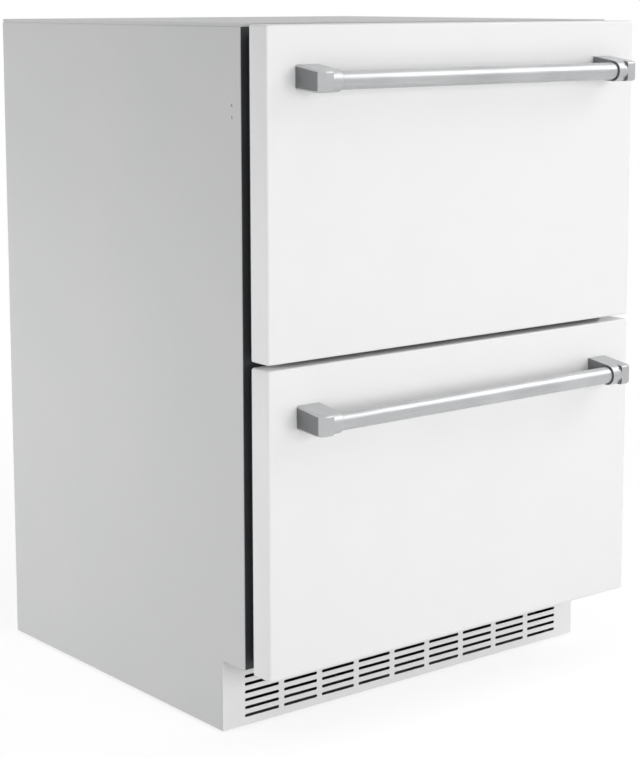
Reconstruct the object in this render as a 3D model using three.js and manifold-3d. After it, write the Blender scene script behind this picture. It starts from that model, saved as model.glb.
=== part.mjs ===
// Undercounter drawer refrigerator: two full-extension drawers over a recessed, slotted kick plate.
// Millimetres. X runs across the front, Y from front to back, Z up from the floor.
import * as THREE from "three";
import { mergeVertices } from "three/addons/utils/BufferGeometryUtils.js";
import Module from "manifold-3d";

const wasm = await Module();
wasm.setup();

// ---------------------------------------------------------------- driving dimensions
// Cabinet shell. Heights are above the bottom edge of the side panels unless they say otherwise.
const cabinetWidth = 606;
const cabinetDepth = 552;
const cabinetHeight = 866;
const footReveal = 3; // levelling feet below the side panels when screwed right in
const shellSheet = 1; // steel of the outer panels
const seatGap = 0.3; // between pieces that rest on each other
const topSkirt = 4; // fold of the top panel down over the sides
const rearReturn = 14; // folds of the side panels behind the rear panels
const bottomReturn = 16; // folds of the side panels under the base pan
const sideHoleRadius = 2; // two fastening holes near the front edge of each side panel
const sideHoleSetback = 17;
const sideHoleHeight = 757;
const sideHolePitch = 14;

// Insulated walls, from the outside of the shell to the inside of the liner
const sideWall = 45;
const topWall = 42;
const rearWall = 48;
const floorWall = 34; // from the roof of the toe space to the floor of the cavity
const stepWall = 36; // over and in front of the machine compartment
const linerSheet = 1.5;
const linerRadius = 14;

// Toe space and kick plate
const toeHeight = 90.5;
const toeDepth = 46.2;
const kickFold = 12;
const slotColumns = 9;
const slotRows = 6;
const slotLength = 53.1;
const slotHeight = 4;
const slotLand = 7.7;
const slotPitch = 10.1;
const lowestSlot = 12.2; // middle of the lowest row above the bottom edge

// Machine compartment
const machineHeight = 205;
const machineDepth = 217;
const coverOverlap = 6; // machine cover and rear panel meet above the compartment's roof
const basePanHeight = 9;
const basePanFold = 18;
const louvreColumns = 2;
const louvreRows = 6;
const louvreLength = 150;
const louvreHeight = 6;
const louvrePitch = 22;
const louvreColumnPitch = 210;
const louvreShift = -45; // towards the condenser, clear of the power inlet
const rearRibs = 4;
const rearRibWidth = 28;
const rearRibHeight = 1.5;
const rearRibEnd = 60; // rib's end to the rear panel's edge

// Power inlet
const inletInset = 90; // cabinet side to the inlet's middle
const inletRise = 60; // base pan to the inlet's middle
const inletWidth = 48;
const inletHeight = 28;
const inletDepth = 24;
const inletFlange = 9; // each side, behind the machine cover
const inletMouth = { width: 26, height: 18, depth: 17 };
const pinPitch = 7;
const pinWidth = 2;
const pinHeight = 4;

// Compressor, on a foot plate over four rubber grommets, and the drain pan on top of it
const compressorX = 60;
const compressorHalfX = 92;
const compressorHalfY = 70;
const compressorHeight = 132;
const seamHeight = 6; // welded flange round the can
const footSheet = 3;
const grommetHeight = 16;
const grommetRadius = 12;
const terminalBox = { width: 56, height: 52, depth: 38, rise: 36, reach: 12 };
const drainPanDepth = 22;
const drainPanWall = 2;

// Coils
const condenserMargin = 72; // cabinet side to the middle of the condenser
const condenserSetback = 108; // front of the machine compartment to the middle of the condenser
const condenserHalf = 78;
const condenserDepth = 44;
const condenserHeight = 150;
const condenserFins = 6;
const evaporatorSideGap = 68; // cavity side to the ends of the evaporator
const evaporatorRise = 60; // step of the cavity to the evaporator
const evaporatorDepth = 30;
const evaporatorHeight = 200;
const evaporatorFins = 6;
const evaporatorRearGap = 18; // cavity back to the middle of the evaporator
const hangerWidth = 12;
const coilPasses = 4;
const finSheet = 1.2;
const coilTube = 4;
const finMargin = 14; // end of the runs to the last fin

// Refrigerant lines and filter drier
const lineRadius = 3;
const lineBend = 12; // front of the machine compartment to the middle of the line across it
const lineBendRadius = 14;
const drierSpacing = 136; // condenser's middle to the drier's middle
const drierSetback = 18;
const drierHalf = 62;
const drierRadius = 10;
const drierEnd = 14; // length of the drier's narrow ends
const drierClip = 12;

// Electrical box
const controlBoxInset = 20; // cabinet side to the box
const controlBoxWidth = 72;
const controlBoxSetback = 30; // front of the machine compartment to the box
const controlBoxRearGap = 60;
const controlBoxHeight = 60;
const controlBoxLid = 8;
const controlBoxLip = 2;
const controlBoxVents = 5;
const controlBoxVentEnd = 14; // vent's end to the box's edge

// Face frame, on which the gaskets seat
const frameSheet = 1.2;
const frameReturn = 12;
const mullionHeight = 54;
const mullionDepth = 30;

// Drawer fronts
const doorThickness = 35;
const doorRadius = 3;
const doorSkin = 0.9;
const doorReturn = 8;
const doorTopReveal = 1.1; // upper front's top edge below the cabinet top
const lowerDoorBottom = 88.5;
const lowerDoorHeight = 376.7;
const drawerGap = 6.1;
const innerPanel = 2;
const innerPanelInset = 3;
const plugHeight = 9; // raised middle of the inner panel
const plugInset = 60; // door edge to the raised middle
const plugRadius = 4;

// Gasket, all round the back of each front
const gasketDepth = 15.8; // door back to cabinet front
const gasketInset = 15; // door edge to the middle of the gasket
const gasketBulb = 11;
const gasketNeck = 4;
const gasketLip = 13;
const gasketDart = 2.4;
const gasketDartDepth = 4;
const gasketBulbDepth = 5.5;
const gasketLipDepth = 3;

// Handles
const barRadius = 11;
const barProjection = 34.5; // door front to the bar's axis
const barDrop = 63.7; // door top to the bar's axis
const bracketWidth = 34;
const bracketInset = 41; // door edge to the bracket's outer side
const bracketRim = 2.5; // metal round the end of the bar
const bracketRise = 18.2; // bar axis to the bracket's top at the door
const bracketFall = 11; // bar axis to the bracket's underside at the door
const bracketBlock = 19; // square-fronted outer part of the bracket, beside its round nose
const bracketRadius = 9; // the block's outer front corner, seen from above
const bracketEdge = 3;
const socketDepth = 20;
const roundSides = 24; // facets round the bar, its sockets and the fan mouths

// Telescopic slides, three members a side
const slideLength = 430;
const slideHeight = 45;
const slideThickness = 12.7;
const slideSheet = 1.4;
const slideSetback = 8; // cabinet front edge to the slide's front end
const ballGap = 3;
const ballRowHalf = 1.5;
const ballRowEnd = 20; // slide's end to the end of its ball rows

// Bins
const binWall = 2.5;
const binRadius = 16;
const binEdge = 8;
const binFront = 6; // cabinet front edge to the bin's front wall
const binRearGap = 14; // bin to evaporator cover
const binFloorGap = 9;
const binHeadroom = 16; // bin's rim below the mullion
const upperBinHeadroom = 50; // bin's rim below the cavity roof
const binRim = 6;
const binRimHeight = 3;
const binRibs = 5;
const binRibWidth = 6;
const binRibHeight = 1.5;
const binRibEnd = 30; // rib's end to the bin's wall
const slideAboveFloor = 40; // bin's floor over the slide to the slide's middle
const uprightRise = 60; // slide's middle to the top of the upright on the drawer front
const uprightFlange = 26;
const uprightEnd = 10; // depth of the upright's narrow ends
const uprightRoot = 30; // length of the upright along the slide

// Evaporator bay behind the drawers
const evaporatorBay = 50;
const coverMargin = 6; // cavity wall to the evaporator cover
const coverSheet = 2;
const coverRim = 16;
const airSlotColumns = 3;
const airSlotPitch = 140;
const airSlotLength = 118;
const airSlotHeight = 5;
const airSlotRows = [16, 26]; // from the cover's edge
const spacerRadius = 6;
const spacerInset = 20;

// Fans
const bladeCount = 5;
const bladeSheet = 1.6;
const bladePitch = 24; // degrees
const bearingGap = 0.3;
const evaporatorFanDrop = 90; // cavity roof to the fan's axis
const evaporatorFanRadius = 46;
const condenserFanRadius = 60;
const condenserFanOffset = 52; // condenser's middle to the shroud

// Lamp and control panel under the cavity roof
const lampHalf = 120;
const lampSetback = 58;
const lampRadius = 14;
const panelSetback = 12;
const panelDepth = 34;

// Levelling legs
const legInset = 38; // cabinet side to the leg's axis
const frontLegSetback = 88;
const rearLegSetback = 42; // cabinet back to the rear legs' axis
const legRadius = 6;
const legFootRadius = 19;
const legFootHeight = 7;
const legLength = 46;
const legBoss = 11;
const legBossHeight = 14;

// ---------------------------------------------------------------- derived places
const halfWidth = cabinetWidth / 2;
const doorBack = -gasketDepth;
const doorFront = doorBack - doorThickness;
const barY = doorFront - barProjection;
const bracketNose = barRadius + bracketRim;
const frontmost = barY - bracketNose;
const upperDoorBottom = lowerDoorBottom + lowerDoorHeight + drawerGap;
const upperDoorTop = cabinetHeight - doorTopReveal;
const mullionMiddle = upperDoorBottom - drawerGap / 2;
const mullionBottom = mullionMiddle - mullionHeight / 2;
const mullionTop = mullionMiddle + mullionHeight / 2;
const cavityHalf = halfWidth - sideWall;
const cavityTop = cabinetHeight - topWall;
const cavityFloor = toeHeight + floorWall;
const cavityBack = cabinetDepth - rearWall;
const machineFront = cabinetDepth - machineDepth;
const stepTop = machineHeight + stepWall;
const stepFront = machineFront - stepWall;
const evaporatorCoverFront = cavityBack - evaporatorBay;
const binBack = evaporatorCoverFront - binRearGap;
const binHalf = cavityHalf - slideThickness - 2 * seatGap;
const innerSideOfShell = halfWidth - shellSheet - seatGap;
const basePanTop = basePanHeight + shellSheet;
const onBasePan = basePanTop + seatGap;
const rearFace = cabinetDepth - shellSheet - seatGap;
const coverTop = machineHeight + coverOverlap;

// ---------------------------------------------------------------- finishes
const finish = (color, roughness, metalness) =>
  new THREE.MeshStandardMaterial({ color, roughness, metalness });
const whitePaint = () => finish("#f2f2f2", 0.38, 0);
const silverPaint = () => finish("#c9cacb", 0.45, 0.2);
const darkPaint = () => finish("#3c3e40", 0.5, 0.1);
const brushedSteel = () => finish("#c4c5c6", 0.3, 1);
const zincSteel = () => finish("#a9adb0", 0.4, 0.9);
const copper = () => finish("#b06f4a", 0.35, 1);
const aluminium = () => finish("#c6cacd", 0.4, 0.9);
const blackEnamel = () => finish("#17181a", 0.35, 0.1);
const blackPlastic = () => finish("#202123", 0.55, 0);
const whitePlastic = () => finish("#eceded", 0.45, 0);
const greyPlastic = () => finish("#9a9da0", 0.5, 0);
const smokedPlastic = () => finish("#d7dadc", 0.2, 0);
const gasketRubber = () => finish("#2a2b2d", 0.8, 0);
const foam = () => finish("#e3c98f", 0.9, 0);

// ---------------------------------------------------------------- outlines
const point = (u, v) => new THREE.Vector2(u, v);

/** Points on an arc, both ends included. Angles are in degrees. */
function arc(u, v, radius, from, to, steps = 4) {
  return Array.from({ length: steps + 1 }, (_, i) => {
    const angle = THREE.MathUtils.degToRad(from + ((to - from) * i) / steps);
    return point(u + radius * Math.cos(angle), v + radius * Math.sin(angle));
  });
}

/** A whole circle with the given number of sides. */
function circle(u, v, radius, sides = 24) {
  return new THREE.Shape(arc(u, v, radius, 0, 360, sides).slice(0, -1));
}

function polygon(corners) {
  return new THREE.Shape(corners.map(([u, v]) => point(u, v)));
}

function rectangle(u0, u1, v0, v1) {
  return polygon([
    [u0, v0],
    [u1, v0],
    [u1, v1],
    [u0, v1],
  ]);
}

function roundedRectangle(u0, u1, v0, v1, radius, steps = 3) {
  return new THREE.Shape([
    ...arc(u1 - radius, v0 + radius, radius, -90, 0, steps),
    ...arc(u1 - radius, v1 - radius, radius, 0, 90, steps),
    ...arc(u0 + radius, v1 - radius, radius, 90, 180, steps),
    ...arc(u0 + radius, v0 + radius, radius, 180, 270, steps),
  ]);
}

/** A slot with round ends, its long way along u. */
function slot(u0, u1, v, height, steps = 3) {
  const radius = height / 2;
  return new THREE.Shape([
    ...arc(u1 - radius, v, radius, -90, 90, steps),
    ...arc(u0 + radius, v, radius, 90, 270, steps),
  ]);
}

/** The section of a sheet folded along a path: the path and its offset to the left by the sheet. */
function foldedSheet(path, sheet) {
  const near = path.map(([u, v]) => point(u, v));
  const normals = near.slice(1).map((end, i) => {
    const along = end.clone().sub(near[i]).normalize();
    return point(-along.y, along.x);
  });
  const far = near.map((corner, i) => {
    const before = normals[Math.max(i - 1, 0)];
    const after = normals[Math.min(i, normals.length - 1)];
    const mitre = before.clone().add(after);
    return mitre.multiplyScalar(sheet / (1 + before.dot(after))).add(corner);
  });
  return new THREE.Shape([...near, ...far.reverse()]);
}

// ---------------------------------------------------------------- solids
const axisX = new THREE.Vector3(1, 0, 0);
const axisY = new THREE.Vector3(0, 1, 0);
const axisZ = new THREE.Vector3(0, 0, 1);

function solidOf(geometry) {
  const bare = geometry.clone();
  bare.deleteAttribute("normal");
  bare.deleteAttribute("uv");
  const merged = mergeVertices(bare, 1e-4);
  const mesh = new wasm.Mesh({
    numProp: 3,
    vertProperties: merged.attributes.position.array,
    triVerts: new Uint32Array(merged.index.array),
  });
  return new wasm.Manifold(mesh);
}

function extrude(shape, length, matrix, round = 0, roundSteps = 2) {
  const geometry = new THREE.ExtrudeGeometry(shape, {
    depth: length - 2 * round,
    bevelEnabled: round > 0,
    bevelThickness: round,
    bevelSize: round,
    bevelOffset: -round,
    bevelSegments: roundSteps,
  });
  geometry.translate(0, 0, round);
  geometry.applyMatrix4(matrix);
  return solidOf(geometry);
}

/** An outline in Y and Z, extruded along X. A round softens both ends. */
function alongX(shape, x0, x1, round, roundSteps) {
  const matrix = new THREE.Matrix4().makeBasis(axisY, axisZ, axisX).setPosition(x0, 0, 0);
  return extrude(shape, x1 - x0, matrix, round, roundSteps);
}

/** An outline in X and Z, extruded along Y. */
function alongY(shape, y0, y1, round, roundSteps) {
  const back = axisY.clone().negate();
  const matrix = new THREE.Matrix4().makeBasis(axisX, axisZ, back).setPosition(0, y1, 0);
  return extrude(shape, y1 - y0, matrix, round, roundSteps);
}

/** An outline in X and Y, extruded along Z. */
function alongZ(shape, z0, z1, round, roundSteps) {
  return extrude(shape, z1 - z0, new THREE.Matrix4().setPosition(0, 0, z0), round, roundSteps);
}

function block([x0, x1], [y0, y1], [z0, z1]) {
  return alongZ(rectangle(x0, x1, y0, y1), z0, z1);
}

/** A revolved profile of [radius, height] points from the foot of the axis to its top, about Z. */
function revolved(profile, x, y, z, sides = 24) {
  const geometry = new THREE.LatheGeometry(
    profile.map(([radius, height]) => point(radius, height)),
    sides,
  );
  geometry.rotateX(Math.PI / 2);
  geometry.translate(x, y, z);
  return solidOf(geometry);
}

/** A round tube or rod bent along a smooth path of [x, y, z] points. */
function bentRod(points, radius, steps = 24, sides = 8) {
  const path = new THREE.CatmullRomCurve3(points.map((p) => new THREE.Vector3(...p)));
  const geometry = new THREE.ExtrudeGeometry(circle(0, 0, radius, sides), {
    extrudePath: path,
    steps,
  });
  return solidOf(geometry);
}

const joined = (...solids) => solids.flat().reduce((sum, solid) => sum.add(solid));
const cut = (solid, ...tools) => tools.flat().reduce((left, tool) => left.subtract(tool), solid);
const mirrored = (solid) => solid.mirror([1, 0, 0]);
const onSide = (solid, side) => (side === "left" ? solid : mirrored(solid));

function meshOf(name, solid, material) {
  const { vertProperties, triVerts } = solid.getMesh();
  const geometry = new THREE.BufferGeometry();
  geometry.setAttribute("position", new THREE.BufferAttribute(vertProperties, 3));
  geometry.setIndex(new THREE.BufferAttribute(triVerts, 1));
  const flat = geometry.toNonIndexed();
  flat.computeVertexNormals();
  const mesh = new THREE.Mesh(flat, material);
  mesh.name = name;
  return mesh;
}

/** Evenly spaced middles of a pattern, centred on zero. */
function spread(count, pitch) {
  return Array.from({ length: count }, (_, i) => (i - (count - 1) / 2) * pitch);
}

// ---------------------------------------------------------------- cabinet shell
/** Left side panel: a sheet with folds at the back and the bottom, and the toe notch cut out. */
function sidePanel() {
  const x = -halfWidth;
  const path = [
    [x + rearReturn, cabinetDepth],
    [x, cabinetDepth],
    [x, 0],
  ];
  const top = cabinetHeight - topSkirt - seatGap;
  const wall = alongZ(foldedSheet(path, shellSheet), 0, top);
  const notchBack = toeDepth + shellSheet + seatGap;
  const fold = block(
    [x + shellSheet / 2, x + bottomReturn],
    [toeDepth + kickFold + seatGap, cabinetDepth - shellSheet / 2],
    [0, shellSheet],
  );
  const notch = block([x - 1, x + rearReturn], [-1, notchBack], [-1, toeHeight]);
  const holes = [0, 1].map((i) =>
    alongX(circle(sideHoleSetback, sideHoleHeight + i * sideHolePitch, sideHoleRadius, 10), x - 1, x + 2),
  );
  return cut(joined(wall, fold), notch, holes);
}

/** Top panel: a sheet folded down on all four edges. */
function topPanel() {
  const edge = roundedRectangle(-halfWidth, halfWidth, 0, cabinetDepth, 2, 2);
  const inside = roundedRectangle(
    -halfWidth + shellSheet,
    halfWidth - shellSheet,
    shellSheet,
    cabinetDepth - shellSheet,
    1,
    2,
  );
  const lid = alongZ(edge, cabinetHeight - topSkirt, cabinetHeight);
  return cut(lid, alongZ(inside, cabinetHeight - topSkirt - 1, cabinetHeight - shellSheet));
}

/** Rear panel over the insulation, with pressed vertical ribs. */
function rearPanel() {
  const outer = innerSideOfShell;
  const top = cabinetHeight - shellSheet - seatGap;
  const sheet = alongY(rectangle(-outer, outer, coverTop, top - topSkirt), rearFace - shellSheet, rearFace);
  const half = rearRibWidth / 2;
  const ribs = spread(rearRibs, cabinetWidth / (rearRibs + 1)).map((x) =>
    alongY(
      roundedRectangle(x - half, x + half, coverTop + rearRibEnd, top - rearRibEnd, half - 1, 2),
      rearFace - shellSheet / 2,
      rearFace + rearRibHeight - shellSheet / 2,
    ),
  );
  return joined(sheet, ribs);
}

/** Louvred cover over the machine compartment, with the power inlet's cut-out. */
function machineCover() {
  const outer = innerSideOfShell;
  const top = coverTop - seatGap;
  const outline = roundedRectangle(-outer, outer, onBasePan, top, 4, 2);
  const sheet = alongY(outline, rearFace - shellSheet, rearFace);
  const through = [rearFace - 2 * shellSheet, rearFace + 1];
  const columns = spread(louvreColumns, louvreColumnPitch).map((x) => x + louvreShift);
  const rows = spread(louvreRows, louvrePitch).map((z) => (onBasePan + top) / 2 + z);
  const half = louvreLength / 2;
  const louvres = columns.flatMap((x) =>
    rows.map((z) => alongY(slot(x - half, x + half, z, louvreHeight, 2), ...through)),
  );
  return cut(sheet, louvres, alongY(inletOutline(seatGap), ...through));
}

/** Outline round the power inlet's middle, grown sideways and upwards. */
function inletOutline(grow, rise = grow) {
  const x = halfWidth - inletInset;
  const z = basePanTop + inletRise;
  const half = inletWidth / 2 + grow;
  const tall = inletHeight / 2 + rise;
  return roundedRectangle(x - half, x + half, z - tall, z + tall, 4, 2);
}

/** Appliance inlet: a flanged socket with three pins, its body through the cover. */
function powerInlet() {
  const behind = rearFace - shellSheet - seatGap;
  const body = alongY(inletOutline(0), rearFace - inletDepth, rearFace);
  const flange = alongY(inletOutline(inletFlange, inletFlange / 3), behind - 3, behind);
  const narrower = (inletMouth.width - inletWidth) / 2;
  const lower = (inletMouth.height - inletHeight) / 2;
  const floor = rearFace - inletMouth.depth;
  const mouth = alongY(inletOutline(narrower, lower), floor, rearFace + 1);
  const pins = [-1, 0, 1].map((i) => {
    const x = halfWidth - inletInset + i * pinPitch;
    const z = basePanTop + inletRise + (i === 0 ? pinHeight / 2 : -pinHeight / 2);
    return block([x - pinWidth / 2, x + pinWidth / 2], [floor - 1, rearFace - 2], [z, z + pinHeight]);
  });
  return joined(cut(joined(body, flange), mouth), pins);
}

/** Base pan: a folded tray with bosses for the legs, rubber mounts and drier saddles. */
function basePan() {
  const outer = innerSideOfShell;
  const front = toeDepth + shellSheet + 2 * seatGap + kickFold;
  const back = rearFace - shellSheet - 2 * seatGap;
  const up = [
    [-outer, basePanHeight + basePanFold],
    [-outer, basePanHeight],
    [outer, basePanHeight],
    [outer, basePanHeight + basePanFold],
  ];
  const tray = alongY(foldedSheet(up, shellSheet), front, back);
  const lips = [front, back - shellSheet].map((y) =>
    block([-outer, outer], [y, y + shellSheet], [basePanHeight, basePanHeight + basePanFold / 2]),
  );
  const legBosses = legPlaces().map(([x, y]) =>
    alongZ(circle(x, y, legBoss, 12), basePanHeight, basePanHeight + legBossHeight),
  );
  const legHoles = legPlaces().map(([x, y]) =>
    alongZ(circle(x, y, legRadius + seatGap, 12), basePanHeight - 1, basePanHeight + legBossHeight + 1),
  );
  const grommet = [
    [0, 0],
    [grommetRadius, 0],
    [grommetRadius * 0.66, grommetHeight / 2],
    [grommetRadius - 1, grommetHeight],
    [0, grommetHeight],
  ];
  const mounts = compressorMounts().map(([x, y]) => revolved(grommet, x, y, grommetFoot, 8));
  return cut(joined(tray, lips, legBosses, mounts), legHoles);
}

/** Kick plate: a folded sheet with a grid of round-ended slots. */
function kickPlate() {
  const front = toeDepth;
  const path = [
    [front + kickFold, 0],
    [front, 0],
    [front, toeHeight - 2 * seatGap],
    [front + kickFold, toeHeight - 2 * seatGap],
  ];
  const fullWidth = alongX(foldedSheet([...path].reverse(), shellSheet), -halfWidth, halfWidth);
  // Behind its front sheet the plate is narrower, to pass between the side panels.
  const relief = ["left", "right"].map((side) =>
    onSide(
      block(
        [-halfWidth - 1, -innerSideOfShell],
        [front + shellSheet, front + kickFold + 1],
        [-1, toeHeight],
      ),
      side,
    ),
  );
  const columns = spread(slotColumns, slotLength + slotLand);
  const rows = Array.from({ length: slotRows }, (_, i) => lowestSlot + i * slotPitch);
  const slots = columns.flatMap((x) =>
    rows.map((z) =>
      alongY(
        slot(x - slotLength / 2, x + slotLength / 2, z, slotHeight),
        front - 1,
        front + shellSheet + 1,
      ),
    ),
  );
  return cut(fullWidth, relief, slots);
}

/** Face frame: the flat seat of both gaskets, folded back round its rim and over the toe space. */
function faceFrame() {
  const outer = innerSideOfShell;
  const bottom = toeHeight + seatGap;
  const top = cabinetHeight - topSkirt - seatGap;
  const plate = new THREE.Shape(rectangle(-outer, outer, bottom, top).getPoints());
  plate.holes.push(
    roundedRectangle(-cavityHalf, cavityHalf, cavityFloor, mullionBottom, linerRadius),
    roundedRectangle(-cavityHalf, cavityHalf, mullionTop, cavityTop, linerRadius),
  );
  const rim = cut(
    block([-outer, outer], [0, frameReturn], [bottom, top]),
    block(
      [-outer + frameSheet, outer - frameSheet],
      [-1, frameReturn + 1],
      [bottom + frameSheet, top - frameSheet],
    ),
  );
  const toeRoof = block([-outer, outer], [0, toeDepth + shellSheet], [bottom, bottom + frameSheet]);
  return joined(alongY(plate, 0, frameSheet), rim, toeRoof);
}

/** Insulated bar behind the frame, between the two drawers. */
function centreMullion() {
  const half = cavityHalf - seatGap;
  const front = frameSheet + seatGap;
  return alongX(
    roundedRectangle(front, front + mullionDepth, mullionBottom, mullionTop, 3, 2),
    -half,
    half,
  );
}

/** Side view of the cavity, which steps over the machine compartment. Grown outwards by grow. */
function cavityOutline(front, grow) {
  const radius = linerRadius + grow;
  return new THREE.Shape([
    point(front, cavityFloor - grow),
    ...arc(stepFront + grow - radius, cavityFloor - grow + radius, radius, -90, 0, 3),
    point(stepFront + grow, stepTop - grow),
    ...arc(cavityBack + grow - radius, stepTop - grow + radius, radius, -90, 0, 3),
    ...arc(cavityBack + grow - radius, cavityTop + grow - radius, radius, 0, 90, 3),
    point(front, cavityTop + grow),
  ]);
}

/** Front view of the cavity. */
function cavityFace(grow) {
  return roundedRectangle(
    -cavityHalf - grow,
    cavityHalf + grow,
    cavityFloor - grow,
    cavityTop + grow,
    linerRadius + grow,
  );
}

function cavitySolid(front, grow) {
  const half = cavityHalf + grow;
  return alongX(cavityOutline(front, grow), -half, half).intersect(
    alongY(cavityFace(grow), front, cavityBack + grow),
  );
}

function liner() {
  const front = frameSheet + seatGap;
  return cut(cavitySolid(front, linerSheet), cavitySolid(front - 1, 0));
}

/** Foam between the shell and the liner, with the machine compartment left out. */
function insulation() {
  const front = frameReturn + 2 * seatGap;
  const bottom = toeHeight + 2 * seatGap + frameSheet;
  const top = cabinetHeight - shellSheet - 2 * seatGap;
  const back = cabinetDepth - 2 * shellSheet - 2 * seatGap;
  const outer = innerSideOfShell;
  const profile = polygon([
    [front, bottom],
    [machineFront, bottom],
    [machineFront, machineHeight],
    [back, machineHeight],
    [back, top],
    [front, top],
  ]);
  const inside = seatGap + frameSheet;
  const nose = block(
    [-outer + inside, outer - inside],
    [frameSheet + seatGap, front + 1],
    [bottom, cabinetHeight - topSkirt - seatGap - inside],
  );
  const body = joined(alongX(profile, -outer, outer), nose);
  return cut(body, cavitySolid(-1, linerSheet + seatGap));
}

// ---------------------------------------------------------------- refrigeration
const compressorY = machineFront + machineDepth / 2;
const grommetFoot = basePanTop - shellSheet / 2;
const compressorFoot = grommetFoot + grommetHeight + seatGap;
const compressorTop = compressorFoot + compressorHeight;

/** Middles of the four grommets under the compressor's foot plate. */
function compressorMounts() {
  const across = compressorHalfX - 6;
  const deep = compressorHalfY - 4;
  return [-1, 1].flatMap((sx) => [-1, 1].map((sy) => [compressorX + sx * across, compressorY + sy * deep]));
}

/** A round-cornered outline about the compressor's axis, its half sizes grown or shrunk. */
function compressorOutline(grow, radius) {
  return roundedRectangle(
    compressorX - compressorHalfX - grow,
    compressorX + compressorHalfX + grow,
    compressorY - compressorHalfY - grow,
    compressorY + compressorHalfY + grow,
    radius,
    2,
  );
}

/** Hermetic compressor: an oval welded can on a foot plate, with its terminal box. */
function compressor() {
  const height = compressorHeight - footSheet / 2;
  const seam = height * 0.52;
  // Radii are shares of the can's half sizes, so that one profile makes the oval.
  const can = revolved(
    [
      [0, 0],
      [0.55, 0],
      [0.82, height * 0.08],
      [0.94, height * 0.2],
      [0.95, seam],
      [1, seam],
      [1, seam + seamHeight],
      [0.92, seam + seamHeight],
      [0.86, height * 0.8],
      [0.62, height * 0.95],
      [0.3, height],
      [0, height],
    ],
    0,
    0,
    0,
    16,
  )
    .scale([compressorHalfX - 8, compressorHalfY - 6, 1])
    .translate([compressorX, compressorY, compressorFoot + footSheet / 2]);
  const plate = alongZ(compressorOutline(7, 14), compressorFoot, compressorFoot + footSheet);
  const { width, height: tall, depth, rise, reach } = terminalBox;
  const box = alongX(
    roundedRectangle(
      compressorY - width / 2,
      compressorY + width / 2,
      compressorFoot + rise,
      compressorFoot + rise + tall,
      6,
      2,
    ),
    compressorX + compressorHalfX + reach - depth,
    compressorX + compressorHalfX + reach,
    2,
    1,
  );
  return joined(can, plate, box);
}

/** Tray over the compressor that dries off the defrost water. */
function drainPan() {
  const bottom = compressorTop + seatGap;
  const wall = drainPanWall;
  return cut(
    alongZ(compressorOutline(-wall, 16), bottom, bottom + drainPanDepth),
    alongZ(compressorOutline(-2 * wall, 16 - wall), bottom + wall, bottom + drainPanDepth + 1),
  );
}

/** A fin-and-tube coil: plate fins threaded on a serpentine tube whose bends stand out at the ends. */
function finCoil({ halfLength, y, depth, bottom, height, fins }) {
  const tube = coilTube;
  const finSpan = halfLength - finMargin;
  const plates = spread(fins, (2 * finSpan) / (fins - 1)).map((x) =>
    block([x - finSheet / 2, x + finSheet / 2], [y - depth / 2, y + depth / 2], [bottom, bottom + height]),
  );
  const pitch = height / coilPasses;
  const levels = spread(coilPasses, pitch).map((z) => bottom + height / 2 + z);
  const runs = levels.map((z) => alongX(circle(y, z, tube, 5), -halfLength, halfLength));
  const bends = levels.slice(1).map((z, i) => {
    const end = i % 2 ? -1 : 1;
    const bend = alongY(
      new THREE.Shape([
        ...arc(0, 0, pitch / 2 + tube, -90, 90, 4),
        ...arc(0, 0, pitch / 2 - tube, 90, -90, 4),
      ]),
      y - tube * 0.8,
      y + tube * 0.8,
    );
    const turned = end > 0 ? bend : mirrored(bend);
    return turned.translate([end * (halfLength - 1), 0, z - pitch / 2]);
  });
  return joined(plates, runs, bends);
}

const condenserX = condenserMargin - halfWidth;
const condenserY = machineFront + condenserSetback;
/** Height of a run of the condenser's tube, counted from the lowest. */
function condenserRun(i) {
  return onBasePan + (condenserHeight * (i + 0.5)) / coilPasses;
}
/** Where a run of the condenser's tube ends, at its front. */
function condenserPort(i) {
  return [condenserX, condenserY - condenserHalf - seatGap, condenserRun(i)];
}

function condenser() {
  const coil = finCoil({
    halfLength: condenserHalf,
    y: 0,
    depth: condenserDepth,
    bottom: onBasePan,
    height: condenserHeight,
    fins: condenserFins,
  });
  // The coil lies across the air stream, which the fan drives along X.
  return coil.rotate([0, 0, 90]).translate([condenserX, condenserY, 0]);
}

const condenserShroud = {
  radius: condenserFanRadius,
  half: condenserHeight / 2 - 1,
  sheet: 2,
  collar: 12,
  armWidth: 8,
  motorRadius: 22,
  motorDepth: 34,
  shaftRadius: 3,
  shaftLength: 15,
};
/** Fan shroud: a plate with a round mouth, and the motor on four arms behind it. */
function fanShroud({ radius, half, sheet, collar, armWidth, ...drive }) {
  const { motorRadius, motorDepth, shaftRadius, shaftLength } = drive;
  const mouth = radius + 2 * sheet;
  const plate = new THREE.Shape(rectangle(-half, half, -half, half).getPoints());
  plate.holes.push(circle(0, 0, mouth, roundSides));
  const ring = new THREE.Shape(circle(0, 0, mouth + sheet, roundSides).getPoints());
  ring.holes.push(circle(0, 0, mouth, roundSides));
  const reach = radius + collar;
  const arm = block([-reach, reach], [-armWidth / 2, armWidth / 2], [-1.5 * sheet, sheet]);
  const arms = [45, 135].map((angle) => arm.rotate([0, 0, angle]));
  return joined(
    alongZ(plate, 0, sheet),
    alongZ(ring, 0, collar),
    arms,
    alongZ(circle(0, 0, motorRadius, 16), -motorDepth, sheet),
    alongZ(circle(0, 0, shaftRadius, 8), 0, sheet + shaftLength),
  );
}

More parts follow.
